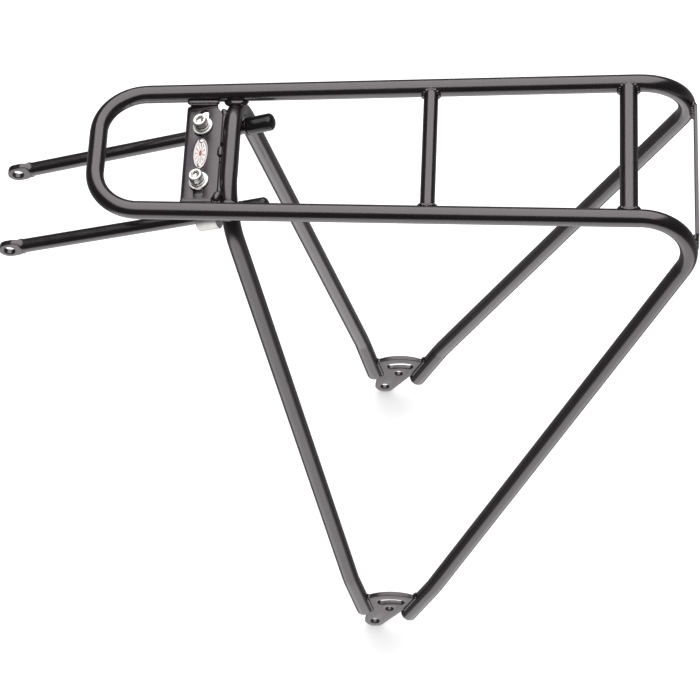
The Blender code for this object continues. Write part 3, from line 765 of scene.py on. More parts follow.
# %% [markdown]
# ## The badge
# A small pressed oval is riveted to the web between the bolts. It carries only a plain relief: a raised
# border, a printed ring and a fan of rays. A disc of rings is scaled to the oval, and each ring's height
# and ink follow from its share of the radius and its angle.

# %% Printed metal
def badge_finish(name):
    """Printed metal: the mesh's own ink value picks bare metal, grey ink or dull red ink."""
    mat, nodes, links, shader = nodes_of(name)
    where = object_vector(nodes)
    ink = nodes.new("ShaderNodeAttribute")
    ink.attribute_name = "ink"
    links.new(ramp(nodes, links, ink.outputs["Fac"],
                   [(0.0, (0.74, 0.68, 0.68)), (0.40, (0.74, 0.68, 0.68)), (0.52, (0.34, 0.27, 0.28)),
                    (0.72, (0.34, 0.27, 0.28)), (0.86, (0.42, 0.10, 0.09))]), shader.inputs["Base Color"])
    links.new(ramp(nodes, links, ink.outputs["Fac"], [(0.30, 0.75), (0.50, 0.05)]), shader.inputs["Metallic"])
    rough = nodes.new("ShaderNodeMapRange")
    rough.inputs["To Min"].default_value = 0.26
    rough.inputs["To Max"].default_value = 0.46
    grain = noise(nodes, links, where, 1500.0, 4.0)
    links.new(grain, rough.inputs["Value"])
    links.new(rough.outputs["Result"], shader.inputs["Roughness"])
    links.new(bump(nodes, links, grain, 0.10, 0.00003), shader.inputs["Normal"])
    return mat


badge_metal = badge_finish("badge_print")
print("made", badge_metal.name)

# %% A turned profile
def turn_profile(profile, sides, matrix, radius_of=None):
    """A (radius, height) profile turned round local Z; radius_of may reshape the radii by angle and height."""
    profile = np.asarray(profile, float)
    a = np.linspace(0, 2 * math.pi, sides, endpoint=False)
    r = np.repeat(profile[:, :1], sides, 1)
    if radius_of is not None:
        r = radius_of(r, a[None, :], profile[:, 1:2])
    local = np.stack([r * np.cos(a), r * np.sin(a), np.repeat(profile[:, 1:], sides, 1)], -1)
    v = lengths(profile)
    return apply(matrix, local), (np.linspace(0, 2 * math.pi, sides + 1), v)


print("a turned cone has", turn_profile([(1.0, 0.0), (0.5, 2.0)], 24, np.eye(4))[0].shape, "points")

# %% The oval and its rivets
BADGE_HALF, BADGE_H, RIVET_Y = (4.1, 10.3), 0.8, 8.2


def badge_mesh():
    """Rings from the edge to the middle; height and ink are functions of ring share q and angle."""
    q = np.concatenate([[1.0, 1.0, 0.985], np.linspace(0.97, 0.02, 60)])
    a = np.linspace(0, 2 * math.pi, 144, endpoint=False)
    base = np.concatenate([[GAP, GAP + BADGE_H - 0.22, GAP + BADGE_H - 0.06], np.full(60, GAP + BADGE_H)])
    border = 0.14 * np.exp(-((q - 0.93) / 0.035) ** 2)
    rays = np.clip(np.cos(11.0 * a), 0.0, 1.0)[None, :] ** 2
    band = (np.clip((q - 0.22) / 0.06, 0, 1) * np.clip((0.72 - q) / 0.06, 0, 1))[:, None]
    height = base[:, None] - 0.16 + border[:, None] + 0.10 * band * rays
    height[0] = GAP
    boss = (0.10 * np.clip((0.20 - q) / 0.05, 0, 1))[:, None]
    height = height + boss
    x = BADGE_HALF[0] * q[:, None] * np.cos(a)
    y = BADGE_HALF[1] * q[:, None] * np.sin(a)
    points = apply(axes_matrix(on_web(SLOT_ALONG, 0.0), DOWN_SLOPE, (0, -1, 0)),
                   np.stack([x, y, height], -1))
    mesh = grid_mesh("badge_plate", points, (np.linspace(0, 40, 145), q * 8.0), angle=60.0)
    ink = np.where((q > 0.80) & (q < 0.86), 0.60, 0.0)[:, None] + np.where((q < 0.20), 1.0, 0.0)[:, None]
    ink = ink + 0.62 * (band > 0.5) * (rays > 0.45)
    layer = mesh.attributes.new("ink", 'FLOAT', 'POINT')
    layer.data.foreach_set("value", np.clip(ink + 0.0 * a, 0, 1).astype(np.float32).ravel())
    return mesh


add_object("badge_plate", badge_mesh(), badge_metal, "rack", ["badge"])
for word, side in SIDES.items():
    at = axes_matrix(on_web(SLOT_ALONG, side * RIVET_Y), DOWN_SLOPE, (0, -1, 0))
    t = np.linspace(0, math.pi / 2, 10)
    head = np.stack([1.3 * np.cos(t), GAP + BADGE_H + 0.1 + 0.6 * np.sin(t)], -1)
    head[-1, 0] = 0.02
    points, uv = turn_profile(np.vstack([[0.7, GAP], [0.7, GAP + 0.6], [1.25, GAP + BADGE_H - 0.1], head]), 32, at)
    add_object(f"{word}_badge_rivet_head", grid_mesh(f"{word}_badge_rivet_head", points, uv),
               washer_finish, "rack", [f"{word}_badge_rivet"])
print("badge oval, mm", [2 * v for v in BADGE_HALF])

# %% [markdown]
# ## Bolts and washers
# Each clamp is held by a socket head screw over a spring washer and a flat washer. The screw is one
# turned profile. Its head's side is knurled by a small ripple of the radius with the angle, its socket's
# radius follows a hexagon, and its shank's radius follows a helix, height less pitch times turn.

# %% Stack of screw and washers
BOLT_Y, BOLT_R, BOLT_LENGTH = 18.75, 2.5, 25.0
HEAD_R, HEAD_H, SOCKET_FLATS, SOCKET_DEPTH = 3.9, 4.55, 4.0, 2.4
WASHER_R, WASHER_BORE_R, WASHER_H = 5.75, 2.8, 1.1
LOCK_R, LOCK_BORE_R, LOCK_H = 4.4, 2.8, 1.0
WASHER_Z = GAP * 0.8
LOCK_Z = WASHER_Z + WASHER_H + GAP * 0.8
HEAD_Z = LOCK_Z + LOCK_H + GAP * 0.8
TOP_Z = HEAD_Z + HEAD_H - 0.03
bolt_finish = turned_steel("bolt_bright", (0.80, 0.79, 0.77), 0.20)


def bolt_matrix(side):
    """Frame on a bolt's axis at the web's upper face."""
    return axes_matrix(on_web(SLOT_ALONG, side * BOLT_Y), DOWN_SLOPE, (0, -1, 0))


print("heights over the web, mm", [round(v, 2) for v in (WASHER_Z, LOCK_Z, HEAD_Z, TOP_Z)])

# %% The screw
def bolt_points(side):
    """The screw's profile from the tip up the outside and down into the hexagon socket."""
    low = HEAD_Z - BOLT_LENGTH
    thread = np.linspace(low + 0.6, HEAD_Z - 4.0, 170)
    shank = np.stack([np.full(170, BOLT_R), thread], -1)
    t = np.linspace(0, math.pi / 2, 6)
    crown = np.stack([HEAD_R - 0.55 + 0.55 * np.cos(t), TOP_Z - 0.55 + 0.55 * np.sin(t)], -1)
    knurl = np.stack([np.full(14, HEAD_R), np.linspace(HEAD_Z + 0.25, TOP_Z - 0.8, 14)], -1)
    apothem = SOCKET_FLATS / 2.0
    profile = np.vstack([[0.02, low], [BOLT_R - 0.6, low], [BOLT_R - 0.05, low + 0.5], shank,
                         [BOLT_R - 0.15, HEAD_Z - 3.9], [BOLT_R - 0.1, HEAD_Z - 0.02], [HEAD_R - 0.25, HEAD_Z],
                         knurl, crown, [apothem + 0.62, TOP_Z], [apothem + 0.30, TOP_Z - 0.05],
                         [apothem, TOP_Z - 0.28], [apothem, TOP_Z - SOCKET_DEPTH], [0.4, TOP_Z - SOCKET_DEPTH - 0.5],
                         [0.02, TOP_Z - SOCKET_DEPTH - 0.55]])
    rows = np.arange(len(profile))
    in_thread = (rows >= 3) & (rows < 173)
    in_knurl = (rows >= 176) & (rows < 190)
    in_hex = (rows >= len(profile) - 4) & (rows < len(profile) - 2)

    def shape(r, a, z):
        turn = (z / 0.8 - a / (2 * math.pi)) % 1.0
        groove = -0.46 * np.clip(np.abs(turn - 0.5) * 2.0 - 0.1, 0.0, 0.85)
        r = np.where(in_thread[:, None], r + groove, r)
        edge = np.clip(np.minimum(z - (HEAD_Z + 0.25), TOP_Z - 0.8 - z) / 0.3, 0.0, 1.0)
        r = np.where(in_knurl[:, None], r - 0.10 * edge * (0.5 + 0.5 * np.cos(36.0 * a)), r)
        hexagon = (SOCKET_FLATS / 2.0) / np.cos((a + math.pi / 6.0) % (math.pi / 3.0) - math.pi / 6.0)
        return np.where(in_hex[:, None], hexagon, r)

    return turn_profile(profile, 144, bolt_matrix(side), shape)


print("points of one screw", bolt_points(1)[0].shape)

# %% The spring washer
def spring_washer(side):
    """A square-section ring cut once, its ends sprung a little apart in height."""
    t = np.linspace(math.radians(8.0), math.radians(352.0), 90)
    c, h = (LOCK_R + LOCK_BORE_R) / 2.0, LOCK_H / 2.0 - 0.06
    w = (LOCK_R - LOCK_BORE_R) / 2.0
    k = np.linspace(0, 2 * math.pi, 24, endpoint=False)
    sec_r = w * np.sign(np.cos(k)) * np.abs(np.cos(k)) ** 0.35
    sec_z = h * np.sign(np.sin(k)) * np.abs(np.sin(k)) ** 0.35
    r = c + sec_r[None, :] + 0 * t[:, None]
    z = LOCK_Z + LOCK_H / 2.0 + sec_z[None, :] + 0.05 * (t[:, None] / math.pi - 1.0)
    local = np.stack([r * np.cos(t)[:, None], r * np.sin(t)[:, None], z], -1)
    return apply(bolt_matrix(side), local), (np.linspace(0, 5, 25), t * c)


print("points of a spring washer", spring_washer(1)[0].shape)

# %% Both stacks in place
for word, side in SIDES.items():
    body = f"{word}_bolt_set"
    points, uv = bolt_points(side)
    add_object(f"{word}_socket_screw", grid_mesh(f"{word}_socket_screw", points, uv, angle=33.0), bolt_finish,
               body, [f"{word}_clamp_bolt"])
    lo, hi, e = WASHER_Z, WASHER_Z + WASHER_H, 0.22
    t = np.radians(np.linspace(0, 90, 5))
    rim_low = np.stack([WASHER_R - e + e * np.sin(t), lo + e - e * np.cos(t)], -1)
    rim_top = np.stack([WASHER_R - e + e * np.cos(t), hi - e + e * np.sin(t)], -1)
    flat = np.vstack([[WASHER_BORE_R, lo + 0.1], [WASHER_BORE_R + 0.1, lo], rim_low, rim_top,
                      [WASHER_BORE_R + 0.15, hi], [WASHER_BORE_R, hi - 0.15], [WASHER_BORE_R, lo + 0.1]])
    points, uv = turn_profile(flat, 96, bolt_matrix(side))
    add_object(f"{word}_washer_flat", grid_mesh(f"{word}_washer_flat", points, uv, caps=False), washer_finish,
               body, [f"{word}_flat_washer"])
    points, uv = spring_washer(side)
    add_object(f"{word}_washer_spring", grid_mesh(f"{word}_washer_spring", points, uv), washer_finish,
               body, [f"{word}_lock_washer"])
print("screw head top over the web, mm", round(TOP_Z, 2))

# %% [markdown]
# ## The stays
# A stay is a rod whose front end was pressed flat and pierced. Its cross-section changes along its
# length from a flat rounded oblong to the rod's circle, so it is a loft: each ring is a superellipse
# whose height, thickness, drop and squareness are smooth functions of the distance along the rod.

# %% Sizes of the stays and caps
STAY_R, STAY_TAIL = 3.85, 151.5
STAY_FRONT, STAY_REAR = (-188.7, 26.4, 313.4), (-46.4, 28.7, 354.9)
EYE_R, EYE_H, EYE_HOLE_R, EYE_DROP, EYE_AHEAD = 5.77, 3.4, 3.0, 0.3, 1.4
CAP_R, CAP_LENGTH, CAP_MOUTH = 5.05, 17.0, 137.4
BORE_GAP = 0.25
stay_coat = powder_coat("stay_coat_satin", gloss=0.21)


def smooth_step(x, low, high):
    """0 before low, 1 after high, 3q^2 - 2q^3 between."""
    q = np.clip((x - low) / (high - low), 0.0, 1.0)
    return q * q * (3.0 - 2.0 * q)


def stay_matrix(side):
    """Frame on a stay's axis: local X back along the rod, local Z outwards."""
    start = np.array(STAY_FRONT) * [1, side, 1]
    along = np.array(STAY_REAR) * [1, side, 1] - start
    return axes_matrix(start, along, (0, 0, -side))


print("halfway between 0 and 10, the step is", float(smooth_step(np.array(5.0), 0.0, 10.0)))

# %% Cut one mesh from another
def cut(mesh, cutters, angle=30.0):
    """The mesh with other closed meshes cut out of it, by exact Booleans that are applied at once."""
    obj = bpy.data.objects.new(mesh.name, mesh)
    bpy.context.scene.collection.objects.link(obj)
    tools = []
    for cutter in cutters:
        tool = bpy.data.objects.new("cutter", cutter)
        bpy.context.scene.collection.objects.link(tool)
        mod = obj.modifiers.new("cut", 'BOOLEAN')
        mod.operation, mod.solver, mod.object = 'DIFFERENCE', 'EXACT', tool
        tools.append(tool)
    bpy.context.view_layer.update()
    done = bpy.data.meshes.new_from_object(obj.evaluated_get(bpy.context.evaluated_depsgraph_get()))
    for o in tools + [obj]:
        bpy.data.objects.remove(o)
    done.name = mesh.name
    finish_mesh(done, angle)
    return done


# %% The rod with its pressed eye
def stay_mesh(name, side):
    """The loft, with its eye cut through by a flared pin."""
    near = -EYE_AHEAD - EYE_R * np.cos(np.linspace(0.02, math.pi / 2, 26))
    s = np.concatenate([near, np.linspace(-0.6, 16.0, 84), np.linspace(18.0, STAY_TAIL - 1.0, 30),
                        [STAY_TAIL - 0.4, STAY_TAIL]])
    disc = np.sqrt(np.maximum(EYE_R ** 2 - (s + EYE_AHEAD) ** 2, 0.0))
    neck = STAY_R + (EYE_R - STAY_R) * (1.0 - smooth_step(s, 1.5, 9.0))
    tall = np.where(s < -EYE_AHEAD, disc, neck)
    thick = EYE_H / 2.0 + (STAY_R - EYE_H / 2.0) * smooth_step(s, 4.8, 7.4)
    drop = side * EYE_DROP * (1.0 - smooth_step(s, 4.0, 9.5))
    power = 2.0 / (8.0 - 6.0 * smooth_step(s, 4.6, 7.6))
    tall[-1] -= 0.6
    thick[-1] -= 0.6
    a = np.linspace(0, 2 * math.pi, 56, endpoint=False)
    y = drop[:, None] + tall[:, None] * np.sign(np.cos(a)) * np.abs(np.cos(a)) ** power[:, None]
    z = thick[:, None] * np.sign(np.sin(a)) * np.abs(np.sin(a)) ** power[:, None]
    at = stay_matrix(side)
    points = apply(at, np.stack([np.repeat(s[:, None], 56, 1), y, z], -1))
    body = grid_mesh(name, points, None, angle=38.0)
    pin = [(0.01, -6.0), (EYE_HOLE_R + 4.9, -6.0), (EYE_HOLE_R, -EYE_H / 2 + 0.4), (EYE_HOLE_R, EYE_H / 2 - 0.4),
           (EYE_HOLE_R + 4.9, 6.0), (0.01, 6.0)]
    eye = at.copy()
    eye[:3, 3] = apply(at, np.array([-EYE_AHEAD, side * EYE_DROP, 0.0]))
    points, _ = turn_profile(pin, 64, eye)
    return cut(body, [grid_mesh("pin", points)], 32.0)


print("stay length, mm", round(STAY_TAIL + EYE_AHEAD + EYE_R, 1))

# %% [markdown]
# ## The caps
# A soft black cap closes the tail of each stay. It is one turned profile with a thin bead round the
# mouth and a domed end. Its finish is glossy moulded plastic, smoother than the powder coat beside
# it, with only a faint drift from the moulding.

# %% Glossy plastic
def gloss_plastic(name):
    """Glossy moulded plastic: nearly even black, faint flow drift and a very shallow ripple."""
    mat, nodes, links, shader = nodes_of(name)
    where = object_vector(nodes)
    flow = noise(nodes, links, where, 130.0, 3.0)
    links.new(ramp(nodes, links, flow, [(0.35, (0.009, 0.008, 0.009)), (0.7, (0.016, 0.014, 0.015))]),
              shader.inputs["Base Color"])
    rough = nodes.new("ShaderNodeMapRange")
    rough.inputs["To Min"].default_value = 0.13
    rough.inputs["To Max"].default_value = 0.24
    links.new(noise(nodes, links, where, 420.0, 4.0, 0.6), rough.inputs["Value"])
    links.new(rough.outputs["Result"], shader.inputs["Roughness"])
    links.new(bump(nodes, links, flow, 0.15, 0.0001), shader.inputs["Normal"])
    return mat


cap_finish = gloss_plastic("cap_gloss")
print("made", cap_finish.name)

# %% Stays and caps in place
def cap_points(side):
    """Moulded cap: a thin bead round the mouth, a slightly tapered wall and a domed end."""
    wall, tail = STAY_R + BORE_GAP, STAY_TAIL - CAP_MOUTH + GAP
    t = np.linspace(0, math.pi / 2, 22)
    rise = CAP_R * 0.62
    dome = np.stack([(CAP_R - 0.12) * np.cos(t), CAP_LENGTH - rise + rise * np.sin(t)], -1)
    dome[-1, 0] = 0.02
    k = np.radians(np.linspace(-70, 90, 9))
    rim = np.stack([CAP_R - 0.45 + 0.45 * np.cos(k), 0.5 + 0.45 * np.sin(k)], -1)
    body = np.stack([np.linspace(CAP_R - 0.2, CAP_R - 0.12, 8), np.linspace(1.3, CAP_LENGTH - rise - 0.3, 8)], -1)
    profile = np.vstack([[0.02, tail], [wall, tail], [wall, 0.15], [wall + 0.15, 0.0], rim, body, dome])
    at = stay_matrix(side) @ np.array([[0, 0, 1, CAP_MOUTH], [0, 1, 0, 0], [-1, 0, 0, 0], [0, 0, 0, 1.0]])
    return turn_profile(profile, 72, at)


for word, side in SIDES.items():
    add_object(f"{word}_stay_rod", stay_mesh(f"{word}_stay_rod", side), stay_coat, f"{word}_arm",
               [f"{word}_stay"])
    points, uv = cap_points(side)
    add_object(f"{word}_end_cap", grid_mesh(f"{word}_end_cap", points, uv, angle=50.0), cap_finish,
               f"{word}_arm", [f"{word}_stay_cap"])
print("caps are", CAP_LENGTH, "mm long")

# %% [markdown]
# ## The clamp blocks
# One block holds each stay under the bracket: a round boss about the rod, a seat under the slot, and a
# slit that lets the bolt pinch the boss shut. The profile is extruded along the slope and its rims are
# rounded, then the rod's bore and the bolt's hole are cut with a small flare at each mouth.

# %% Rings, plates and rounded rims
def ring(centre, radius, count=48):
    """Points of a whole circle."""
    return arc(centre, radius, 0.0, 360.0, count + 1)[:-1]


def plate_mesh(name, outline, holes, low, high, matrix, edge=0.35):
    """A flat plate with holes: its outline is filled, raised and its rims are rounded."""
    bm = bmesh.new()
    edges = []
    for loop in [outline] + list(holes):
        verts = [bm.verts.new((x, y, low)) for x, y in np.asarray(loop)]
        edges += [bm.edges.new((verts[i - 1], verts[i])) for i in range(len(verts))]
    bmesh.ops.triangle_fill(bm, use_beauty=True, edges=edges, normal=(0, 0, -1))
    inner = [e for e in bm.edges if len(e.link_faces) == 2]
    bmesh.ops.dissolve_limit(bm, angle_limit=0.01, verts=bm.verts, edges=inner)
    risen = bmesh.ops.extrude_face_region(bm, geom=list(bm.faces))
    lifted = [g for g in risen["geom"] if isinstance(g, bmesh.types.BMVert)]
    bmesh.ops.translate(bm, vec=(0, 0, high - low), verts=lifted)
    bmesh.ops.recalc_face_normals(bm, faces=bm.faces)
    if edge:
        rims = [e for e in bm.edges if len(e.link_faces) == 2 and e.calc_face_angle() > 1.0]
        bmesh.ops.bevel(bm, geom=rims, offset=edge, offset_type='OFFSET', segments=3, profile=0.5,
                        affect='EDGES', clamp_overlap=True)
    mesh = bpy.data.meshes.new(name)
    bm.transform(Matrix.Diagonal((MM, MM, MM, 1.0)) @ Matrix(matrix.tolist()))
    bm.to_mesh(mesh)
    bm.free()
    finish_mesh(mesh, 30.0)
    return mesh


print("points of a ring", len(ring((0.0, 0.0), 2.0)))

# %% Sizes of the clamps
CLAMP_WIDTH, CLAMP_BOSS_R, CLAMP_INNER, CLAMP_SHOULDER = 12.0, 8.2, 12.6, 25.6
CLAMP_ARM_H, SLIT = 6.0, 1.4
clamp_finish = steel("clamp_bright", (0.66, 0.65, 0.64), 0.46, 700.0, (0.15, 1.0, 1.0))


def stay_over_web():
    """Across and out-of-web position of the stay's axis in the plane of the bolts."""
    start, stop = np.array(STAY_FRONT), np.array(STAY_REAR)
    d = unit(stop - start)
    reach = ((on_web(SLOT_ALONG, 0.0) - start) @ DOWN_SLOPE) / (d @ DOWN_SLOPE)
    p = start + d * reach - BRACKET_ORIGIN
    return float(p[1]), float(p @ OUT_OF_WEB)


print("stay against the bolt line, mm", [round(v, 2) for v in stay_over_web()])

# %% Outline of the block
def clamp_outline():
    """Seat, boss about the rod, lower arm and slit, drawn across and out of the web."""
    across, height = stay_over_web()
    seat, slit_top = -SHEET - GAP, height + 2.6
    arm_low = slit_top - SLIT - CLAMP_ARM_H
    boss = arc((across, height), CLAMP_BOSS_R, 42.0, -115.0, 46)
    foot = arc((CLAMP_INNER + 1.2, arm_low + 1.2), 1.2, -90.0, -180.0, 6)
    slot_end = arc((across - STAY_R * 0.6, slit_top - SLIT / 2), SLIT / 2, -90.0, 90.0, 9)
    outline = np.vstack([[CLAMP_INNER, slit_top], [CLAMP_INNER, seat - 0.8], [CLAMP_INNER + 0.8, seat],
                         [CLAMP_SHOULDER - 0.6, seat], [CLAMP_SHOULDER, seat - 0.5], boss, foot,
                         [CLAMP_INNER, slit_top - SLIT], slot_end])
    return outline


print("points round the block", len(clamp_outline()))

# %% The bored block
def clamp_mesh(name, side):
    """Extruded outline, rounded, less the rod's bore and the bolt's hole, each a turned profile."""
    at = axes_matrix(on_web(SLOT_ALONG, 0.0), (0, side, 0), OUT_OF_WEB)
    half = CLAMP_WIDTH / 2.0
    block = plate_mesh(name, clamp_outline(), [], -half, half, at, 0.8)
    rod = stay_matrix(side) @ np.array([[0, 0, 1, 0], [0, 1, 0, 0], [-1, 0, 0, 0], [0, 0, 0, 1.0]])
    d = unit(np.array(STAY_REAR) - np.array(STAY_FRONT))
    centre = float(((on_web(SLOT_ALONG, 0.0) - np.array(STAY_FRONT)) @ DOWN_SLOPE) / (d @ DOWN_SLOPE))
    r = STAY_R + BORE_GAP
    bore = [(0.01, centre - 30), (r + 2.0, centre - 30), (r + 2.0, centre - half - 1.6), (r, centre - half + 0.5),
            (r, centre + half - 0.5), (r + 2.0, centre + half + 1.6), (r + 2.0, centre + 30), (0.01, centre + 30)]
    points, _ = turn_profile(bore, 64, rod)
    r = BOLT_R + BORE_GAP
    hole = [(0.01, -40.0), (r, -40.0), (r, 5.0), (0.01, 5.0)]
    hole_points, _ = turn_profile(hole, 40, bolt_matrix(side))
    return cut(block, [grid_mesh("bore", points), grid_mesh("hole", hole_points)], 32.0)


for word, side in SIDES.items():
    add_object(f"{word}_pinch_block", clamp_mesh(f"{word}_pinch_block", side), clamp_finish,
               f"{word}_clamp", [f"{word}_clamp_block"])
print("boss centre, across and below the web, mm", [round(v, 1) for v in stay_over_web()])

# %% [markdown]
# ## The foot plates
# Each is punched from 3 mm sheet and welded between the two leg ends. Its upper edge is an arch, its
# lower end a round lobe about the frame bolt's hole, and a curved slot follows the arch.

# %% Outline and openings of a foot
FOOT_SHEET, FOOT_BOLT_R, FOOT_LOBE_R = 3.0, 2.75, 6.26
SMALL_HOLE, SMALL_HOLE_R = (9.7, 15.2), 2.5
ARCH_TOP, ARCH_R, FOOT_SLOT_R = (11.0, 31.6), 26.5, 18.8
FOOT_SLOT_HALF_WIDTH, FOOT_SLOT_HALF_LENGTH = 2.7, 5.6


def beside_leg(end, knee, along, sideways):
    """A point beside a leg's foot, measured from its end towards the knee and square to it."""
    d = unit(np.subtract(knee, end))
    return np.asarray(end) + d * along + np.array([d[1], -d[0]]) * sideways


def foot_loops():
    """Outline and the three openings, in X and Z."""
    beside = TUBE_R + GAP
    centre = np.array([ARCH_TOP[0], ARCH_TOP[1] - ARCH_R])
    front_low = beside_leg(FRONT_END, FRONT_KNEE, -0.4, beside)
    front_high = beside_leg(FRONT_END, FRONT_KNEE, 15.6, beside)
    rear_low = beside_leg(REAR_END, REAR_KNEE, 5.2, -beside)
    rear_high = beside_leg(REAR_END, REAR_KNEE, 24.4, -beside)
    start = math.degrees(math.atan2(*(rear_high - centre)[::-1]))
    stop = math.degrees(math.atan2(*(front_high - centre)[::-1]))
    under = np.array([FRONT_END[0] + 1.2, FRONT_END[1] - 1.6])
    lobe = arc((0.0, 0.0), FOOT_LOBE_R, 186.0, 326.0, 40)
    outline = np.vstack([arc(centre, ARCH_R, start, stop, 34)[1:-1], front_high, front_low, under, lobe,
                         rear_low, rear_high])
    half = math.degrees(FOOT_SLOT_HALF_LENGTH / FOOT_SLOT_R)
    w = FOOT_SLOT_HALF_WIDTH
    ends = []
    for angle, turn in ((90.0 + half, 0.0), (90.0 - half, -180.0)):
        middle = centre + FOOT_SLOT_R * np.array([math.cos(math.radians(angle)), math.sin(math.radians(angle))])
        ends.append(arc(middle, w, angle + turn, angle + turn + 180.0, 13))
    slot = np.vstack([arc(centre, FOOT_SLOT_R + w, 90 - half, 90 + half, 14)[1:-1], ends[0],
                      arc(centre, FOOT_SLOT_R - w, 90 + half, 90 - half, 14)[1:-1], ends[1]])
    return outline, [ring((0.0, 0.0), FOOT_BOLT_R), ring(SMALL_HOLE, SMALL_HOLE_R), slot]


print("foot plate corner points", len(foot_loops()[0]))

# %% Foot plates and their seams
for word, side in SIDES.items():
    at = axes_matrix((0.0, side * FOOT_HALF, 0.0), (1, 0, 0), (0, 0, 1))
    loops = foot_loops()
    name = f"{word}_foot_sheet"
    add_object(name, plate_mesh(name, *loops, -FOOT_SHEET / 2, FOOT_SHEET / 2, at, 0.4), sheet_coat, "rack",
               [f"{word}_foot_plate"])
    for tag, end, knee, low, high, sideways in (("front", FRONT_END, FRONT_KNEE, 0.4, 15.2, TUBE_R + 0.1),
                                                ("rear", REAR_END, REAR_KNEE, 5.6, 24.0, -TUBE_R - 0.1)):
        for face in (-1, 1):
            a, b = (beside_leg(end, knee, s, sideways * 0.99) for s in (low, high))
            y = side * FOOT_HALF + face * (FOOT_SHEET / 2 - 0.1)
            seam = np.array([[a[0], y, a[1]], [b[0], y, b[1]]])
            bead(f"{word}_foot_{tag}_weld_{'outer' if face == side else 'inner'}", seam, 1.0, 1.4, False,
                 61 + side + 3 * face)

# %% [markdown]
# ## The light bracket
# A strap stands across the two rear bends for a lamp or a reflector. Its corners are rounded, it has
# two holes, and a short bead at each end ties it to the tube.

# %% The strap
LIGHT_SHEET, LIGHT_HALF, LIGHT_REAR_X = 1.9, 44.9, 193.18
LIGHT_TOP, LIGHT_HEIGHT = DECK_Z - 16.5, 15.4
LIGHT_HOLE_R, LIGHT_HOLE_PITCH = 2.75, 50.0


def strap_outline():
    """A rectangle with round corners of 2 mm."""
    low, r = LIGHT_TOP - LIGHT_HEIGHT, 2.0
    corners = ((LIGHT_HALF - r, LIGHT_TOP - r, 0.0), (-LIGHT_HALF + r, LIGHT_TOP - r, 90.0),
               (-LIGHT_HALF + r, low + r, 180.0), (LIGHT_HALF - r, low + r, 270.0))
    return np.vstack([arc((x, z), r, a, a + 90.0, 9) for x, z, a in corners])


strap_at = axes_matrix((LIGHT_REAR_X - LIGHT_SHEET, 0.0, 0.0), (0, 1, 0), (0, 0, 1))
middle = LIGHT_TOP - LIGHT_HEIGHT / 2.0
strap_holes = [ring((side * LIGHT_HOLE_PITCH / 2.0, middle), LIGHT_HOLE_R) for side in (-1, 1)]
add_object("light_strap", plate_mesh("light_strap", strap_outline(), strap_holes, 0.0, LIGHT_SHEET, strap_at, 0.35),
           sheet_coat, "rack", ["light_bracket"])
print("strap, mm", 2 * LIGHT_HALF, "x", LIGHT_HEIGHT)

# %% Welds at its ends
for word, side in SIDES.items():
    tube_here = spread(main_path[(np.sign(main_path[:, 1]) == side) & (main_path[:, 0] > 150)], 0.5)
    z = np.linspace(LIGHT_TOP - LIGHT_HEIGHT + 1.0, LIGHT_TOP - 1.0, 24)
    near = np.array([tube_here[np.abs(tube_here[:, 2] - h).argmin()] for h in z])
    edge_y = side * (LIGHT_HALF - 0.2)
    gap_x = np.minimum((near[:, 0] + TUBE_R + LIGHT_REAR_X - LIGHT_SHEET) / 2.0 - 0.5, LIGHT_REAR_X - 1.9)
    seam = np.stack([gap_x, np.full(24, edge_y), z], -1)
    bead(f"{word}_light_weld", seam, 1.85, 2.2, False, 71 + side)
    end = np.array([[LIGHT_REAR_X - 2.2, side * (LIGHT_HALF + 1.1), h] for h in (z[0], z[-1])])
    bead(f"{word}_light_end_weld", end, 1.95, 3.0, False, 81 + side, depth=0.22)
    print(word, "strap to tube, mm", round(float(LIGHT_REAR_X - LIGHT_SHEET - near[:, 0].max() - TUBE_R), 2))

# %% [markdown]
# ## Floor, light and camera
# A pale floor and one large soft box overhead, a little behind the carrier, give each tube one
# broad highlight along its upper side. The rest of the room is dark, so the black stays black, and
# a round white card low in front lights the lower edges. The floor is hidden from reflections only,
# as it would fill the legs with white. The camera is a long lens high on the left side.

# %% The floor
def floor_mesh():
    """A large square just under the feet."""
    z = cad_box[0].z - 0.0004
    mesh = bpy.data.meshes.new("floor")
    mesh.from_pydata([(-6, -6, z), (6, -6, z), (6, 6, z), (-6, 6, z)], [], [(0, 1, 2, 3)])
    return mesh


floor_mat, floor_nodes, floor_links, floor_shader = nodes_of("floor_pale")
cloud = noise(floor_nodes, floor_links, object_vector(floor_nodes), 3.0, 3.0)
floor_links.new(ramp(floor_nodes, floor_links, cloud, [(0.3, 0.90), (0.7, 0.93)]), floor_shader.inputs["Base Color"])
floor_shader.inputs["Roughness"].default_value = 0.9
floor_shader.inputs["Emission Color"].default_value = (1.0, 1.0, 1.0, 1.0)
floor_shader.inputs["Emission Strength"].default_value = 0.45
floor_object = bpy.data.objects.new("floor", floor_mesh())
floor_object.data.materials.append(floor_mat)
bpy.context.scene.collection.objects.link(floor_object)
floor_object.visible_glossy = False
floor_object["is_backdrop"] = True
print("floor at z, mm", round((cad_box[0].z - 0.0004) / MM, 2))

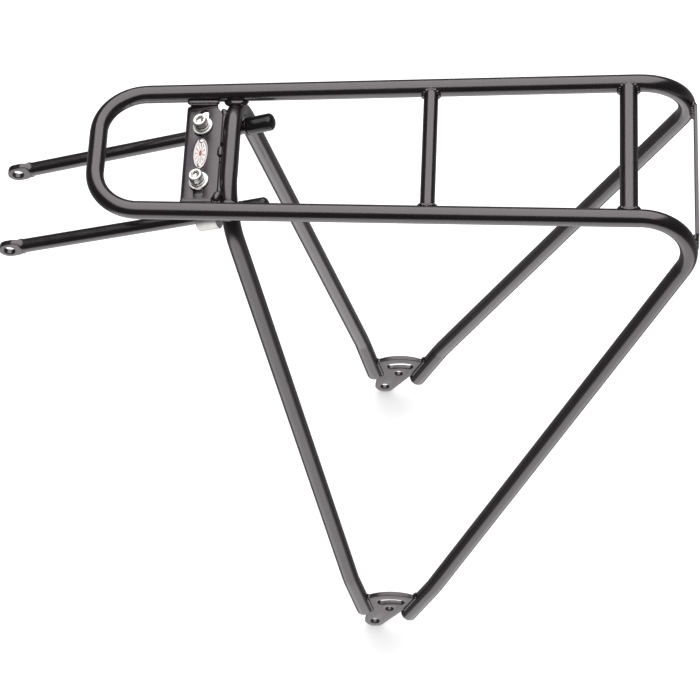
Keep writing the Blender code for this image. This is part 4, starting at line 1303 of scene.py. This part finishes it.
# %% A dark room with a white card
def dark_studio(card, rim, strength):
    """A dark world, a little lighter below, with one round white card low in front.

    The card is full inside the angle rim[0] from its own direction and gone past rim[1], in degrees.
    """
    world = bpy.data.worlds.new("studio")
    world.use_nodes = True
    nodes, links = world.node_tree.nodes, world.node_tree.links
    where = nodes.new("ShaderNodeTexCoord")
    most = nodes.new("ShaderNodeMath")
    most.operation = 'MAXIMUM'
    card_range = (math.cos(math.radians(rim[1])), math.cos(math.radians(rim[0])), 0.08, strength)
    for slot, direction, (start, stop, dim, full) in ((0, card, card_range), (1, (0, 0, -1), (-0.1, 0.6, 0.08, 0.27))):
        facing = nodes.new("ShaderNodeVectorMath")
        facing.operation = 'DOT_PRODUCT'
        facing.inputs[1].default_value = unit(np.array(direction, float))
        links.new(where.outputs["Generated"], facing.inputs[0])
        fade = nodes.new("ShaderNodeMapRange")
        fade.interpolation_type = 'SMOOTHSTEP'
        for name, value in (("From Min", start), ("From Max", stop), ("To Min", dim), ("To Max", full)):
            fade.inputs[name].default_value = value
        links.new(facing.outputs["Value"], fade.inputs["Value"])
        links.new(fade.outputs["Result"], most.inputs[slot])
    back = nodes["Background"]
    back.inputs["Color"].default_value = (1.0, 1.0, 1.0, 1.0)
    links.new(most.outputs["Value"], back.inputs["Strength"])
    return world


bpy.context.scene.world = dark_studio((0.0, -0.6, -0.8), (34.0, 48.0), 1.7)
print("world", bpy.context.scene.world.name)

# %% The soft box
def soft_box(name, place, target, width, height, power):
    """A rectangular area light that faces its target."""
    light = bpy.data.lights.new(name, 'AREA')
    light.shape = 'RECTANGLE'
    light.size, light.size_y, light.energy = width, height, power
    obj = bpy.data.objects.new(name, light)
    obj.location = place
    obj.rotation_euler = (Vector(target) - Vector(place)).to_track_quat('-Z', 'Y').to_euler()
    bpy.context.scene.collection.objects.link(obj)
    return obj


soft_box("key_box", (0.1, 0.55, 1.75), (0.0, 0.0, 0.3), 2.5, 3.6, 60.0)
print("lights", len(bpy.data.lights))

# %% The camera
AZIMUTH, ELEVATION, ROLL = math.radians(7.51), math.radians(56.17), math.radians(-6.23)
TARGET, DISTANCE, LENS = np.array([-0.0088, 0.0, 0.17037]), 2.12709, 184.51
level = math.cos(ELEVATION)
back = np.array([math.sin(AZIMUTH) * level, -math.cos(AZIMUTH) * level, math.sin(ELEVATION)])
right = unit(np.cross(-back, [0, 0, 1.0]))
up = np.cross(right, -back)
right_r = right * math.cos(ROLL) + up * math.sin(ROLL)
up_r = -right * math.sin(ROLL) + up * math.cos(ROLL)
pose = np.eye(4)
pose[:3, 0], pose[:3, 1], pose[:3, 2], pose[:3, 3] = right_r, up_r, back, TARGET + back * DISTANCE
lens = bpy.data.cameras.new("camera")
lens.lens, lens.sensor_width = LENS, 36.0
lens.clip_start, lens.clip_end = 0.05, 50.0
camera = bpy.data.objects.new("camera", lens)
camera.matrix_world = Matrix(pose.tolist())
bpy.context.scene.collection.objects.link(camera)
bpy.context.scene.camera = camera
bpy.context.scene.view_settings.view_transform = 'Standard'
print("camera at, m", [round(float(v), 3) for v in pose[:3, 3]])

# %% [markdown]
# ## The finished box
# How far the finished box lies inside the CAD part's box is printed for each axis. The
# finished box must stay inside the CAD part's box.

# %% Print the margins and finish
made_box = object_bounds()
for axis, low, high, cad_low, cad_high in zip("XYZ", *made_box, *cad_box):
    print(axis, "inside by, mm", round((low - cad_low) / MM, 2), round((cad_high - high) / MM, 2))
